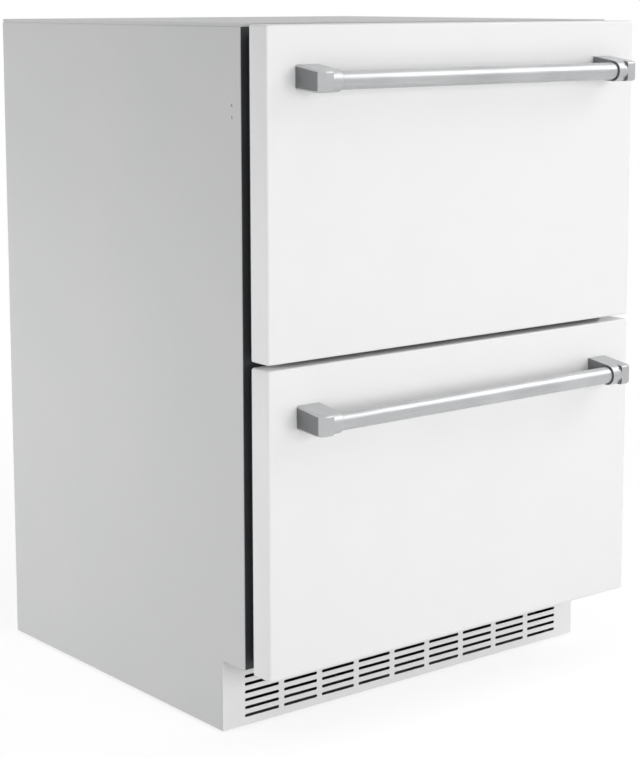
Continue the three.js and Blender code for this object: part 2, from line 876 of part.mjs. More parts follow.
/** Axial rotor about Z: a hub with a blind bore for its shaft and pitched, swept blades. */
function fanRotor({ hubRadius, tipRadius, width, shaftRadius, boreDepth }) {
  const hub = cut(
    alongZ(circle(0, 0, hubRadius, 16), 0, width, 1.5, 1),
    alongZ(circle(0, 0, shaftRadius + bearingGap, 8), -1, boreDepth),
  );
  const outline = new THREE.Shape([
    ...arc(0, 0, tipRadius, -15, 29, 4),
    ...arc(0, 0, hubRadius * 0.8, 5, -29, 3),
  ]);
  const blade = alongZ(outline, -bladeSheet / 2, bladeSheet / 2).rotate([bladePitch, 0, 0]);
  const blades = Array.from({ length: bladeCount }, (_, i) =>
    blade.translate([0, 0, width / 2]).rotate([0, 0, (360 / bladeCount) * i]),
  );
  return joined(hub, blades);
}

const condenserFan = {
  hubRadius: 17,
  tipRadius: condenserFanRadius,
  width: 20,
  shaftRadius: condenserShroud.shaftRadius,
  boreDepth: 14,
};
const condenserFanX = condenserX + condenserFanOffset;
const condenserFanZ = onBasePan + condenserShroud.half;
/** Turns a solid about Z to one about X and sets it in the condenser's air stream. */
function inAirStream(solid, x) {
  return solid.rotate([0, -90, 0]).translate([x, condenserY, condenserFanZ]);
}

const evaporatorMotor = { radius: 15, depth: 12, shaftRadius: 2, shaftLength: 10 };
const evaporatorFan = {
  hubRadius: 14,
  tipRadius: evaporatorFanRadius,
  width: 14,
  shaftRadius: evaporatorMotor.shaftRadius,
  boreDepth: evaporatorMotor.shaftLength,
};
const evaporatorFanZ = cavityTop - evaporatorFanDrop;

/** Cover of the evaporator bay: supply slots at the top, return slots below, spacers and the fan's motor. */
function evaporatorCover() {
  const half = cavityHalf - coverMargin;
  const bottom = stepTop + coverMargin;
  const top = cavityTop - coverMargin;
  const y = evaporatorCoverFront;
  const sheet = coverSheet;
  const plate = new THREE.Shape(roundedRectangle(-half, half, bottom, top, 8, 2).getPoints());
  for (const x of spread(airSlotColumns, airSlotPitch)) {
    for (const row of airSlotRows) {
      for (const z of [top - row, bottom + row]) {
        plate.holes.push(slot(x - airSlotLength / 2, x + airSlotLength / 2, z, airSlotHeight, 2));
      }
    }
  }
  const wall = alongY(plate, y, y + sheet);
  const rim = cut(
    alongY(roundedRectangle(-half, half, bottom, top, 8, 2), y, y + coverRim),
    alongY(
      roundedRectangle(-half + sheet, half - sheet, bottom + sheet, top - sheet, 8 - sheet, 2),
      y - 1,
      y + coverRim + 1,
    ),
  );
  const spacers = [-1, 1].flatMap((side) =>
    [0.3, 0.7].map((share) =>
      alongY(
        circle(side * (half - spacerInset), bottom + (top - bottom) * share, spacerRadius, 8),
        y + 1,
        cavityBack - seatGap,
      ),
    ),
  );
  const { radius, depth, shaftRadius, shaftLength } = evaporatorMotor;
  const motor = alongY(circle(0, evaporatorFanZ, radius, 16), y + 1, y + depth);
  const shaft = alongY(circle(0, evaporatorFanZ, shaftRadius, 8), y + depth - 1, y + depth + shaftLength);
  return joined(wall, rim, spacers, motor, shaft);
}

function evaporator() {
  const halfLength = cavityHalf - evaporatorSideGap;
  const y = cavityBack - evaporatorRearGap;
  const bottom = stepTop + evaporatorRise;
  const coil = finCoil({
    halfLength,
    y,
    depth: evaporatorDepth,
    bottom,
    height: evaporatorHeight,
    fins: evaporatorFins,
  });
  const lastFin = halfLength - finMargin;
  const level = bottom + evaporatorHeight * 0.7;
  const hangers = [-lastFin, lastFin].map((x) =>
    block(
      [x - hangerWidth / 2, x + hangerWidth / 2],
      [y, cavityBack - seatGap],
      [level, level + hangerWidth],
    ),
  );
  return joined(coil, hangers);
}

const drierX = condenserX + drierSpacing;
const drierY = machineFront + drierSetback;
const drierZ = condenserRun(0);
/** Filter drier: a copper can with spun ends, lying along X on its own clip. */
function filterDrier() {
  const shoulder = drierHalf - drierEnd;
  const profile = [
    [0, -drierHalf],
    [lineRadius, -drierHalf],
    [lineRadius, -shoulder],
    [drierRadius, drierRadius - shoulder],
    [drierRadius, shoulder - drierRadius],
    [lineRadius, shoulder],
    [lineRadius, drierHalf],
    [0, drierHalf],
  ];
  const can = revolved(profile, 0, 0, 0, 12).rotate([0, 90, 0]).translate([drierX, drierY, drierZ]);
  const across = [drierX - drierClip / 2, drierX + drierClip / 2];
  const clip = joined(
    block(across, [drierY - 8, drierY + 8], [onBasePan, drierZ - 4]),
    block(across, [drierY - 16, drierY + 16], [onBasePan, onBasePan + 2]),
  );
  return joined(can, clip);
}

/** Electrical housing on the base pan: a moulded box with cooling slots and a lipped lid. */
function controlBox() {
  const x1 = halfWidth - controlBoxInset;
  const x0 = x1 - controlBoxWidth;
  const y0 = machineFront + controlBoxSetback;
  const y1 = cabinetDepth - controlBoxRearGap;
  const lidZ = onBasePan + controlBoxHeight;
  const outline = (grow) => roundedRectangle(x0 - grow, x1 + grow, y0 - grow, y1 + grow, 5 + grow, 2);
  const body = alongZ(outline(0), onBasePan, lidZ);
  const lid = alongZ(outline(controlBoxLip), lidZ, lidZ + controlBoxLid, controlBoxLip, 1);
  const pitch = (y1 - y0) / (controlBoxVents + 2);
  const vents = spread(controlBoxVents, pitch).map((y) => {
    const middle = (y0 + y1) / 2 + y;
    const wide = [middle - pitch / 5, middle + pitch / 5];
    return block([x0 - 1, x0 + 5], wide, [onBasePan + controlBoxVentEnd, lidZ - controlBoxVentEnd]);
  });
  return cut(joined(body, lid), vents);
}

/** Refrigerant line from the compressor's side to the condenser's top run. */
function dischargeLine() {
  const x = compressorX - compressorHalfX + 5;
  const y = compressorY - 20;
  const z = compressorFoot + compressorHeight / 2;
  const [endX, endY, endZ] = condenserPort(coilPasses - 1);
  const bendY = machineFront + lineBend;
  const bend = lineBendRadius;
  return bentRod(
    [
      [x, y, z],
      [x - bend, y, z],
      [x - 2 * bend, y - bend, z + (endZ - z) * 0.25],
      [x - 2.5 * bend, bendY + bend, z + (endZ - z) * 0.6],
      [x - 3.5 * bend, bendY, z + (endZ - z) * 0.9],
      [endX + 3 * bend, bendY, endZ],
      [endX + bend, bendY, endZ],
      [endX, endY - bend / 2, endZ],
      [endX, endY, endZ],
    ],
    coilTube,
    20,
    6,
  );
}

/** Refrigerant line from the condenser's lowest run to the filter drier. */
function liquidLine() {
  const [x, y, z] = condenserPort(0);
  const endX = drierX - drierHalf - seatGap;
  const bend = lineBendRadius;
  return bentRod(
    [
      [x, y, z],
      [x, y - bend / 2, z],
      [x + bend / 2, drierY + lineRadius, z],
      [x + 1.5 * bend, drierY, drierZ],
      [endX - bend, drierY, drierZ],
      [endX, drierY, drierZ],
    ],
    lineRadius,
    14,
    6,
  );
}

// ---------------------------------------------------------------- lighting and controls
/** Half-round lamp under the cavity roof. */
function lamp() {
  const top = cavityTop - seatGap;
  const shade = arc(lampSetback + lampRadius, top, lampRadius, 180, 360, 8);
  return alongX(new THREE.Shape(shade), -lampHalf, lampHalf);
}

/** Touch control panel under the cavity roof, its face sloped towards the front. */
function controlPanel() {
  const top = cavityTop - seatGap;
  const back = panelSetback + panelDepth;
  return alongX(
    polygon([
      [panelSetback, top],
      [panelSetback, top - 6],
      [panelSetback + 6, top - 15],
      [back, top - 9],
      [back, top],
    ]),
    -lampHalf,
    lampHalf,
  );
}

// ---------------------------------------------------------------- drawers
const drawers = [
  {
    name: "upper",
    bottom: upperDoorBottom,
    top: upperDoorTop,
    floor: mullionTop + binFloorGap,
    rearFloor: mullionTop + binFloorGap,
    rim: cavityTop - upperBinHeadroom,
  },
  {
    name: "lower",
    bottom: lowerDoorBottom,
    top: lowerDoorBottom + lowerDoorHeight,
    floor: cavityFloor + binFloorGap,
    rearFloor: stepTop + binFloorGap,
    rim: mullionBottom - binHeadroom,
  },
];
const slideMiddle = (drawer) => drawer.rearFloor + slideAboveFloor;
const skinBack = doorBack - innerPanel - seatGap;

/** Outline of a front, drawn in from its edge. */
function frontOutline({ bottom, top }, inset, radius = 2, steps = 2) {
  return roundedRectangle(
    -halfWidth + inset,
    halfWidth - inset,
    bottom + inset,
    top - inset,
    radius,
    steps,
  );
}

/** A front's outline as a ring round a middle line. */
function frontRing(drawer, middle, width) {
  const ring = new THREE.Shape(frontOutline(drawer, middle - width / 2, 6, 1).getPoints());
  ring.holes.push(frontOutline(drawer, middle + width / 2, 3, 1));
  return ring;
}

/** Painted steel skin of a drawer front: a pan with soft front edges, folded in behind. */
function doorSkinSolid(drawer) {
  const over = 10;
  const corner = doorRadius + 0.5;
  const pan = alongY(frontOutline(drawer, 0, corner), doorFront, skinBack + over, doorRadius, 3);
  const inside = alongY(
    frontOutline(drawer, doorSkin, corner - doorSkin),
    doorFront + doorSkin,
    skinBack - doorSkin,
    doorRadius - doorSkin,
    1,
  );
  const mouth = alongY(frontOutline(drawer, doorReturn), skinBack - 2 * doorSkin, skinBack + over);
  const behind = block(
    [-halfWidth - 1, halfWidth + 1],
    [skinBack, skinBack + over + 1],
    [drawer.bottom - 1, drawer.top + 1],
  );
  return cut(pan, inside, mouth, behind);
}

const grooveWidth = gasketDart + 2 * seatGap;
const grooveDepth = gasketDartDepth + seatGap;
/** Inner panel: a formed sheet with the gasket's groove and a raised middle. */
function doorInnerPanel(drawer) {
  const plate = alongY(frontOutline(drawer, innerPanelInset), doorBack - innerPanel, doorBack);
  const raised = alongY(
    frontOutline(drawer, plugInset, 2 * plugRadius),
    doorBack - 1,
    doorBack + plugHeight + plugRadius,
    plugRadius,
    2,
  );
  const level = block(
    [-halfWidth, halfWidth],
    [doorBack + plugHeight, doorBack + plugHeight + plugRadius + 1],
    [drawer.bottom, drawer.top],
  );
  const hollow = alongY(
    frontOutline(drawer, plugInset + innerPanel, 2 * plugRadius - innerPanel),
    doorBack - innerPanel - 1,
    doorBack + plugHeight - innerPanel,
  );
  const channel = alongY(
    frontRing(drawer, gasketInset, grooveWidth + innerPanel),
    doorBack - grooveDepth - innerPanel / 2,
    doorBack - innerPanel / 2,
  );
  const groove = alongY(frontRing(drawer, gasketInset, grooveWidth), doorBack - grooveDepth, doorBack + 1);
  return cut(joined(plate, cut(raised, level), channel), hollow, groove);
}

/** Foam of a drawer front, behind the skin and inside the raised panel. */
function doorFoam(drawer) {
  const back = doorBack - grooveDepth - innerPanel / 2 - seatGap;
  const round = doorRadius - doorSkin;
  const slab = alongY(
    frontOutline(drawer, doorSkin + 2 * seatGap, round + 0.1),
    doorFront + doorSkin + seatGap,
    back,
    round,
    1,
  );
  const inset = plugInset + innerPanel + seatGap;
  const core = alongY(
    frontOutline(drawer, inset, 2 * plugRadius - innerPanel, 1),
    back - 1,
    doorBack + plugHeight - innerPanel - seatGap,
  );
  return joined(slab, core);
}

/** Magnetic gasket: lip, neck and bulb all round, held by a dart in the inner panel's groove. */
function gasket(drawer) {
  const seat = -seatGap;
  const bulbBack = seat - gasketBulbDepth;
  const lipBack = doorBack + seatGap;
  return joined(
    alongY(frontRing(drawer, gasketInset, gasketBulb), bulbBack, seat),
    alongY(frontRing(drawer, gasketInset, gasketNeck), lipBack, bulbBack + 1),
    alongY(frontRing(drawer, gasketInset, gasketLip), lipBack, lipBack + gasketLipDepth),
    alongY(frontRing(drawer, gasketInset, gasketDart), doorBack - gasketDartDepth, lipBack + 1),
  );
}

/** Left handle bracket: a soft-edged block and, beside it, a round nose that wraps the end of the bar. */
function handleBracket(z) {
  const back = doorFront - seatGap;
  const outer = -halfWidth + bracketInset;
  const inner = outer + bracketWidth;
  const step = outer + bracketBlock;
  const topAngle = THREE.MathUtils.radToDeg(Math.atan2(bracketRise - bracketNose, barProjection));
  const fallAngle = THREE.MathUtils.radToDeg(Math.atan2(bracketNose - bracketFall, barProjection));
  const side = new THREE.Shape([
    point(back, z - bracketFall),
    point(back, z + bracketRise),
    ...arc(barY, z, bracketNose, 90 + topAngle, 270 - fallAngle, 10),
  ]);
  const nose = alongX(side, step - bracketEdge, inner);
  const profile = polygon([
    [back, z - bracketFall],
    [back, z + bracketRise],
    [barY, z + bracketNose],
    [frontmost, z + bracketNose],
    [frontmost, z - bracketNose],
    [barY, z - bracketNose],
  ]);
  const plan = new THREE.Shape([
    point(step, back + 1),
    point(outer, back + 1),
    ...arc(outer + bracketRadius, frontmost + bracketRadius, bracketRadius, 180, 270, 4),
    point(step, frontmost),
  ]);
  const tall = alongZ(plan, z - 2 * bracketRise, z + 2 * bracketRise);
  const end = alongX(profile, outer, step, bracketEdge, 2).intersect(tall);
  const socket = alongX(circle(barY, z, barRadius + seatGap, roundSides), inner - socketDepth, inner + 1);
  return cut(joined(nose, end), socket);
}

function handleBar(z) {
  const reach = halfWidth - bracketInset - bracketWidth + socketDepth - seatGap;
  return alongX(circle(barY, z, barRadius, roundSides), -reach, reach);
}

/** A tub with soft corners and a soft bottom edge, open at the top. */
function tub(y0, y1, floor, top, inset) {
  const outline = roundedRectangle(
    -binHalf + inset,
    binHalf - inset,
    y0 + inset,
    y1 - inset,
    binRadius - inset,
    2,
  );
  return cut(
    alongZ(outline, floor + inset, top + 20, binEdge - inset, inset ? 1 : 2),
    block([-halfWidth, halfWidth], [y0 - 1, y1 + 1], [top + (inset ? 1 : 0), top + 30]),
  );
}

/** Bin: a moulded tub with a rim and floor ribs. The lower one steps over the machine compartment. */
function bin(drawer) {
  const stepped = drawer.rearFloor > drawer.floor;
  const deepBack = stepped ? stepFront - binFloorGap : binBack;
  const spans = [
    [binFront, deepBack, drawer.floor],
    [binFront, binBack, drawer.rearFloor],
  ];
  const outside = joined(spans.map(([y0, y1, floor]) => tub(y0, y1, floor, drawer.rim, 0)));
  const inside = joined(spans.map(([y0, y1, floor]) => tub(y0, y1, floor, drawer.rim, binWall)));
  const wide = binHalf + binRim;
  const edge = new THREE.Shape(
    roundedRectangle(-wide, wide, binFront, binBack + binRim, binRadius + binRim, 2).getPoints(),
  );
  const mouth = binHalf - binWall;
  edge.holes.push(
    roundedRectangle(-mouth, mouth, binFront + binWall, binBack - binWall, binRadius - binWall, 2),
  );
  const inner = drawer.floor + binWall;
  const ribs = spread(binRibs, (2 * binHalf) / (binRibs + 1)).map((x) =>
    block(
      [x - binRibWidth / 2, x + binRibWidth / 2],
      [binFront + binRibEnd, deepBack - binRibEnd],
      [inner - 1, inner + binRibHeight],
    ),
  );
  return joined(cut(outside, inside), alongZ(edge, drawer.rim - binRimHeight, drawer.rim), ribs);
}

// ---------------------------------------------------------------- slides
/** A channel section: web at wall, flanges towards mouth, both measured from the liner wall inwards. */
function channelPath(wall, mouth, half, middle) {
  const x = -cavityHalf;
  return [
    [x + mouth, middle + half],
    [x + wall, middle + half],
    [x + wall, middle - half],
    [x + mouth, middle - half],
  ];
}

function slideRun() {
  return [slideSetback, slideSetback + slideLength];
}

/** Outer member, screwed to the liner, its channel open towards the bin. */
function outerSlide(drawer) {
  const mouth = slideThickness - slideSheet - 2 * seatGap;
  const path = channelPath(seatGap, mouth, slideHeight / 2, slideMiddle(drawer));
  return alongY(foldedSheet(path, slideSheet), ...slideRun());
}

const middleWall = slideSheet + 4 * seatGap; // liner wall to the middle member's web
const middleHalf = slideHeight / 2 - slideSheet - ballGap;
const innerHalf = middleHalf - slideSheet - ballGap;
/** Middle member: a smaller channel with the ball rows above and below each flange. */
function middleSlide(drawer) {
  const mouth = slideThickness - slideSheet - 4 * seatGap;
  const z = slideMiddle(drawer);
  const [front, back] = slideRun();
  const channel = alongY(foldedSheet(channelPath(middleWall, mouth, middleHalf, z), slideSheet), front, back);
  const x = -cavityHalf + (middleWall + mouth) / 2 + 1;
  // Each row starts inside the flange and stops short of the neighbouring member.
  const inFlange = middleHalf - slideSheet / 2;
  const reach = ballGap - seatGap + slideSheet / 2;
  const rows = [-reach, 0].flatMap((low) =>
    [-1, 1].map((way) => {
      const [a, b] = [inFlange + low, inFlange + low + reach].map((height) => z + way * height);
      const heights = [Math.min(a, b), Math.max(a, b)];
      return block([x - ballRowHalf, x + ballRowHalf], [front + ballRowEnd, back - ballRowEnd], heights);
    }),
  );
  return joined(channel, rows);
}

/** Inner member, on the bin's side, with the upright that bolts to the drawer front. */
function innerSlide(drawer) {
  const z = slideMiddle(drawer);
  const wall = slideThickness;
  const mouth = middleWall + slideSheet + 1;
  const path = channelPath(wall, mouth, innerHalf, z).reverse();
  const channel = alongY(foldedSheet(path, slideSheet), ...slideRun());
  const x = -cavityHalf + wall - slideSheet;
  const panelFace = doorBack + plugHeight + seatGap;
  const foot = z - slideAboveFloor - binFloorGap / 2;
  const head = z + uprightRise;
  const root = slideSetback + uprightRoot;
  const upright = alongX(
    polygon([
      [panelFace, foot],
      [panelFace + uprightEnd, foot],
      [root, z - innerHalf],
      [root, z + innerHalf],
      [panelFace + uprightEnd, head],
      [panelFace, head],
    ]),
    x,
    x + slideSheet,
  );
  const flange = block([x, x + uprightFlange], [panelFace, panelFace + slideSheet], [foot, head]);
  return joined(channel, upright, flange);
}

// ---------------------------------------------------------------- legs
function legPlaces() {
  return [
    [-halfWidth + legInset, frontLegSetback],
    [halfWidth - legInset, frontLegSetback],
    [-halfWidth + legInset, cabinetDepth - rearLegSetback],
    [halfWidth - legInset, cabinetDepth - rearLegSetback],
  ];
}

/** Levelling leg: a threaded stud in a flanged foot with a hexagonal collar. */
function leg([x, y]) {
  const collarRadius = legRadius + 4;
  const foot = revolved(
    [
      [0, 0],
      [legFootRadius - 2, 0],
      [legFootRadius, 2],
      [legFootRadius, legFootHeight - 2.5],
      [collarRadius, legFootHeight],
      [0, legFootHeight],
    ],
    x,
    y,
    -footReveal,
    12,
  );
  const inFoot = 1 - footReveal;
  const collar = alongZ(circle(x, y, collarRadius, 6), inFoot, legFootHeight - footReveal + 4);
  const stud = alongZ(circle(x, y, legRadius, 12), inFoot, legLength - footReveal);
  return joined(foot, collar, stud);
}

// ---------------------------------------------------------------- assembly
const refrigerator = new THREE.Group();
// The origin is on the floor, under the middle of the outermost faces.
refrigerator.position.set(0, -(cabinetDepth + frontmost) / 2, footReveal);

const cabinet = new THREE.Group();
refrigerator.add(cabinet);
cabinet.add(
  meshOf("side_panel_left", sidePanel(), silverPaint()),
  meshOf("side_panel_right", mirrored(sidePanel()), silverPaint()),
  meshOf("top_panel", topPanel(), silverPaint()),
  meshOf("rear_panel", rearPanel(), zincSteel()),
  meshOf("machine_cover", machineCover(), zincSteel()),
  meshOf("power_inlet", powerInlet(), blackPlastic()),
  meshOf("base_pan", basePan(), blackEnamel()),
  meshOf("kick_plate", kickPlate(), whitePaint()),
  meshOf("face_frame", faceFrame(), darkPaint()),
  meshOf("centre_mullion", centreMullion(), greyPlastic()),
  meshOf("liner", liner(), whitePlastic()),
  meshOf("insulation", insulation(), foam()),
);

const refrigeration = new THREE.Group();
refrigerator.add(refrigeration);
refrigeration.add(
  meshOf("compressor", compressor(), blackEnamel()),
  meshOf("drain_pan", drainPan(), blackPlastic()),
  meshOf("condenser", condenser(), blackEnamel()),
  meshOf("condenser_fan_shroud", inAirStream(fanShroud(condenserShroud), condenserFanX), blackPlastic()),
  meshOf(
    "condenser_fan",
    inAirStream(fanRotor(condenserFan), condenserFanX - 2 * condenserShroud.sheet),
    blackPlastic(),
  ),
  meshOf("filter_drier", filterDrier(), copper()),
  meshOf("control_box", controlBox(), blackPlastic()),
  meshOf("discharge_line", dischargeLine(), copper()),
  meshOf("liquid_line", liquidLine(), copper()),
  meshOf("evaporator", evaporator(), aluminium()),
  meshOf("evaporator_cover", evaporatorCover(), whitePlastic()),
  meshOf(
    "evaporator_fan",
    fanRotor(evaporatorFan)
      .rotate([-90, 0, 0])
      .translate([0, evaporatorCoverFront + evaporatorMotor.depth + bearingGap, evaporatorFanZ]),
    blackPlastic(),
  ),
  meshOf("interior_lamp", lamp(), smokedPlastic()),
  meshOf("control_panel", controlPanel(), blackPlastic()),
);

for (const drawer of drawers) {
  const group = new THREE.Group();
  refrigerator.add(group);
  const barZ = drawer.top - barDrop;
  const part = (piece) => `${drawer.name}_${piece}`;
  group.add(
    meshOf(part("door_skin"), doorSkinSolid(drawer), whitePaint()),
    meshOf(part("door_foam"), doorFoam(drawer), foam()),
    meshOf(part("door_inner_panel"), doorInnerPanel(drawer), whitePlastic()),
    meshOf(part("gasket"), gasket(drawer), gasketRubber()),
    meshOf(part("handle_bar"), handleBar(barZ), brushedSteel()),
    meshOf(part("bin"), bin(drawer), smokedPlastic()),
  );
  for (const side of ["left", "right"]) {
    group.add(
      meshOf(part(`handle_bracket_${side}`), onSide(handleBracket(barZ), side), brushedSteel()),
      meshOf(part(`slide_outer_${side}`), onSide(outerSlide(drawer), side), zincSteel()),
      meshOf(part(`slide_middle_${side}`), onSide(middleSlide(drawer), side), zincSteel()),
      meshOf(part(`slide_inner_${side}`), onSide(innerSlide(drawer), side), zincSteel()),
    );
  }
}

const legNames = ["front_left", "front_right", "rear_left", "rear_right"];
legPlaces().forEach((place, i) => {
  refrigerator.add(meshOf(`leg_${legNames[i]}`, leg(place), blackPlastic()));
});

export default refrigerator;
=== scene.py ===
"""Undercounter drawer refrigerator: the visible pieces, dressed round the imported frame.

Sizes are in millimetres in the cabinet's own frame: x runs across the front from the middle,
y from the cabinet's front edge to the back, z up from the side panels' bottom edge.
"""
import logging
import math
from dataclasses import dataclass, field
from enum import Enum
from typing import Iterable

import bmesh
import bpy
from bmesh.types import BMesh, BMFace, BMVert
from bpy.types import Material, Node, NodeSocket, NodeTree, Object
from mathutils import Matrix, Vector


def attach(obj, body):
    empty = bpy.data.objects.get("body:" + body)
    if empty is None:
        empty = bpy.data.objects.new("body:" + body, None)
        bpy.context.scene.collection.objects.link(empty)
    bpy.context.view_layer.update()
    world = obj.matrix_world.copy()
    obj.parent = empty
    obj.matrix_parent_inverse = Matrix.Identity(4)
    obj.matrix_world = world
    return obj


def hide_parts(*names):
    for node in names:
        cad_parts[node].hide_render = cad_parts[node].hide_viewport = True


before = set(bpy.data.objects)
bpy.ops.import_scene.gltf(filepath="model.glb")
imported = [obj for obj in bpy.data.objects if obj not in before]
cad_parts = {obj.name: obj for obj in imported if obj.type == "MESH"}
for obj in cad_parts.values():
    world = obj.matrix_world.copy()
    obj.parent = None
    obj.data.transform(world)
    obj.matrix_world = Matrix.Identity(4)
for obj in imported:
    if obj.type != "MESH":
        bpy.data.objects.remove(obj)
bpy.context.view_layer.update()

LOG = logging.getLogger("refrigerator")
MM = 0.001
ORIGIN_Y = -226.6  # cabinet's front edge in the part's frame
ORIGIN_Z = 3.0  # side panels' bottom edge above the floor
TO_FRAME = Matrix.Scale(MM, 4) @ Matrix.Translation((0.0, ORIGIN_Y, ORIGIN_Z))

HALF_WIDTH = 303.0
DEPTH = 552.0
HEIGHT = 866.0
SHEET = 1.0
GAP = 0.3  # clearance between neighbouring pieces
NEAR = 1e-3  # places that are closer than this are the same
INNER_HALF = HALF_WIDTH - SHEET - GAP  # half the width inside the side panels
BACK = DEPTH - SHEET - GAP  # outer face of the rear panel and of its cover

Pair = tuple[float, float]
Place = tuple[float, float, float]


class Axis(Enum):
    """The direction that an outline is drawn across, with the two axes it is drawn on."""

    X = (1, 2, 0)
    Y = (0, 2, 1)
    Z = (0, 1, 2)

    def at(self, u: float, v: float, w: float) -> Vector:
        """Returns the point with u and v on the outline's axes and w along the direction."""
        place = [0.0, 0.0, 0.0]
        for index, value in zip(self.value, (u, v, w)):
            place[index] = value
        return Vector(place)

    @property
    def direction(self) -> Vector:
        """Returns the unit vector along the direction."""
        return self.at(0.0, 0.0, 1.0)


# ------------------------------------------------------------------ shaping
def outline(bm: BMesh, corners: list[Pair], axis: Axis, at: float) -> list:
    """Draws a closed loop through a few corners.

    Args:
        bm: the mesh to draw in.
        corners: (u, v) places on the axis's two outline axes.
        axis: the direction that the outline faces.
        at: its place along that direction.

    Returns:
        The loop's edges.
    """
    verts = [bm.verts.new(axis.at(u, v, at)) for u, v in corners]
    return [bm.edges.new((a, b)) for a, b in zip(verts, verts[1:] + verts[:1])]


def round_loop(
    bm: BMesh,
    u: Pair,
    v: Pair,
    radius: float,
    axis: Axis,
    at: float,
    quarter: int = 4,
) -> list:
    """Draws a rectangle with round corners: a circle whose quarters are pulled apart.

    Args:
        bm: the mesh to draw in.
        u: lowest and highest place on the first outline axis.
        v: the same on the second one.
        radius: of the corners.
        axis: the direction that the outline faces.
        at: its place along that direction.
        quarter: edges in each corner.

    Returns:
        The loop's edges.
    """
    sides = quarter * 4
    made = bmesh.ops.create_circle(bm, segments=sides, radius=radius, cap_ends=False)
    turn = Matrix.Rotation(math.pi / sides, 4, "Z")
    bmesh.ops.transform(bm, matrix=turn, verts=made["verts"])
    middle = ((u[0] + u[1]) / 2, (v[0] + v[1]) / 2)
    apart = ((u[1] - u[0]) / 2 - radius, (v[1] - v[0]) / 2 - radius)
    for vert in made["verts"]:
        place_u = middle[0] + vert.co.x + math.copysign(apart[0], vert.co.x)
        place_v = middle[1] + vert.co.y + math.copysign(apart[1], vert.co.y)
        vert.co = axis.at(place_u, place_v, at)
    return list({edge for vert in made["verts"] for edge in vert.link_edges})


def ring_loop(
    bm: BMesh, u: float, v: float, radius: float, axis: Axis, at: float, sides: int = 32
) -> list:
    """Draws a circle and returns its edges."""
    return round_loop(bm, (u - radius, u + radius), (v - radius, v + radius), radius, axis, at, sides // 4)


def fill(bm: BMesh, edges: list) -> list:
    """Fills an outline, leaving out the loops inside it, and returns the faces."""
    made = bmesh.ops.triangle_fill(bm, use_beauty=True, use_dissolve=False, edges=edges)
    return [item for item in made["geom"] if isinstance(item, BMFace)]


def join_rings(bm: BMesh, near: list, far: list) -> None:
    """Joins two rings drawn across Y: flat where they share a plane, or else by a wall."""
    depths = [vert.co.y for edge in near + far for vert in edge.verts]
    if max(depths) - min(depths) < NEAR:
        fill(bm, near + far)
    else:
        bmesh.ops.bridge_loops(bm, edges=near + far)


def thicken(bm: BMesh, faces: list, direction: Vector) -> list:
    """Draws faces out into a solid.

    Args:
        bm: the mesh.
        faces: the flat faces to draw out.
        direction: how far and which way.

    Returns:
        The vertices of the drawn end.
    """
    made = bmesh.ops.extrude_face_region(bm, geom=faces, use_keep_orig=True)
    far = [item for item in made["geom"] if isinstance(item, BMVert)]
    bmesh.ops.translate(bm, vec=direction, verts=far)
    return far


def plate(bm: BMesh, loops: list[list], axis: Axis, thickness: float) -> list:
    """Fills the loops as one sheet with holes and gives it a thickness along the axis."""
    return thicken(bm, fill(bm, [edge for loop in loops for edge in loop]), axis.direction * thickness)


def fold(bm: BMesh, edges: list, direction: Vector) -> list:
    """Folds edges of a sheet over.

    Args:
        bm: the mesh.
        edges: the edges to fold along.
        direction: how far the fold reaches and which way.

    Returns:
        The new faces.
    """
    made = bmesh.ops.extrude_edge_only(bm, edges=edges)["geom"]
    verts = [item for item in made if isinstance(item, BMVert)]
    bmesh.ops.translate(bm, vec=direction, verts=verts)
    return [item for item in made if isinstance(item, BMFace)]


def give_wall(bm: BMesh, inward: Vector, thickness: float) -> None:
    """Gives every face drawn so far its thickness.

    Args:
        bm: the mesh, which is one open sheet.
        inward: the side of the largest face that the wall grows to.
        thickness: of the wall.
    """
    bmesh.ops.recalc_face_normals(bm, faces=bm.faces)
    bm.normal_update()
    largest = max(bm.faces, key=lambda face: face.calc_area())
    if largest.normal.dot(inward) > 0:
        bmesh.ops.reverse_faces(bm, faces=bm.faces)
        bm.normal_update()
    bmesh.ops.solidify(bm, geom=list(bm.faces), thickness=thickness)


def prism(bm: BMesh, corners: list[Pair], axis: Axis, start: float, end: float) -> list:
    """Extrudes a polygon along an axis.

    Args:
        bm: the mesh.
        corners: (u, v) places on the axis's two outline axes.
        axis: the direction to extrude along.
        start: where the solid starts along it.
        end: where it ends.

    Returns:
        The new solid's vertices.
    """
    loop = outline(bm, corners, axis, start)
    near = {vert for edge in loop for vert in edge.verts}
    face = bmesh.ops.contextual_create(bm, geom=loop)["faces"]
    far = thicken(bm, face, axis.direction * (end - start))
    return list(near) + far


def block(
    bm: BMesh, x: Pair, y: Pair, z: Pair
) -> list:
    """Adds a box between the given places and returns its vertices."""
    middle = Vector((sum(x) / 2, sum(y) / 2, sum(z) / 2))
    size = Matrix.Diagonal((x[1] - x[0], y[1] - y[0], z[1] - z[0], 1.0))
    return bmesh.ops.create_cube(bm, size=1.0, matrix=Matrix.Translation(middle) @ size)["verts"]


def edges_of(verts: list) -> list:
    """Returns the edges whose two ends are both among the vertices."""
    chosen = set(verts)
    return list({e for v in verts for e in v.link_edges if e.verts[0] in chosen and e.verts[1] in chosen})


def lying_at(items: Iterable, axis: Axis, place: float) -> list:
    """Picks edges or faces by where they lie.

    Args:
        items: the edges or faces to pick from.
        axis: the direction that the place is measured along.
        place: where all their vertices have to be.

    Returns:
        Those that lie there.
    """
    index = axis.value[2]
    return [item for item in items if all(abs(v.co[index] - place) < NEAR for v in item.verts)]


def edges_along(verts: list, axis: Axis) -> list:
    """Returns the edges among the vertices that run along an axis."""
    found = []
    for edge in edges_of(verts):
        span = edge.verts[1].co - edge.verts[0].co
        if span.length > 0 and abs(span.normalized().dot(axis.direction)) > 0.999:
            found.append(edge)
    return found


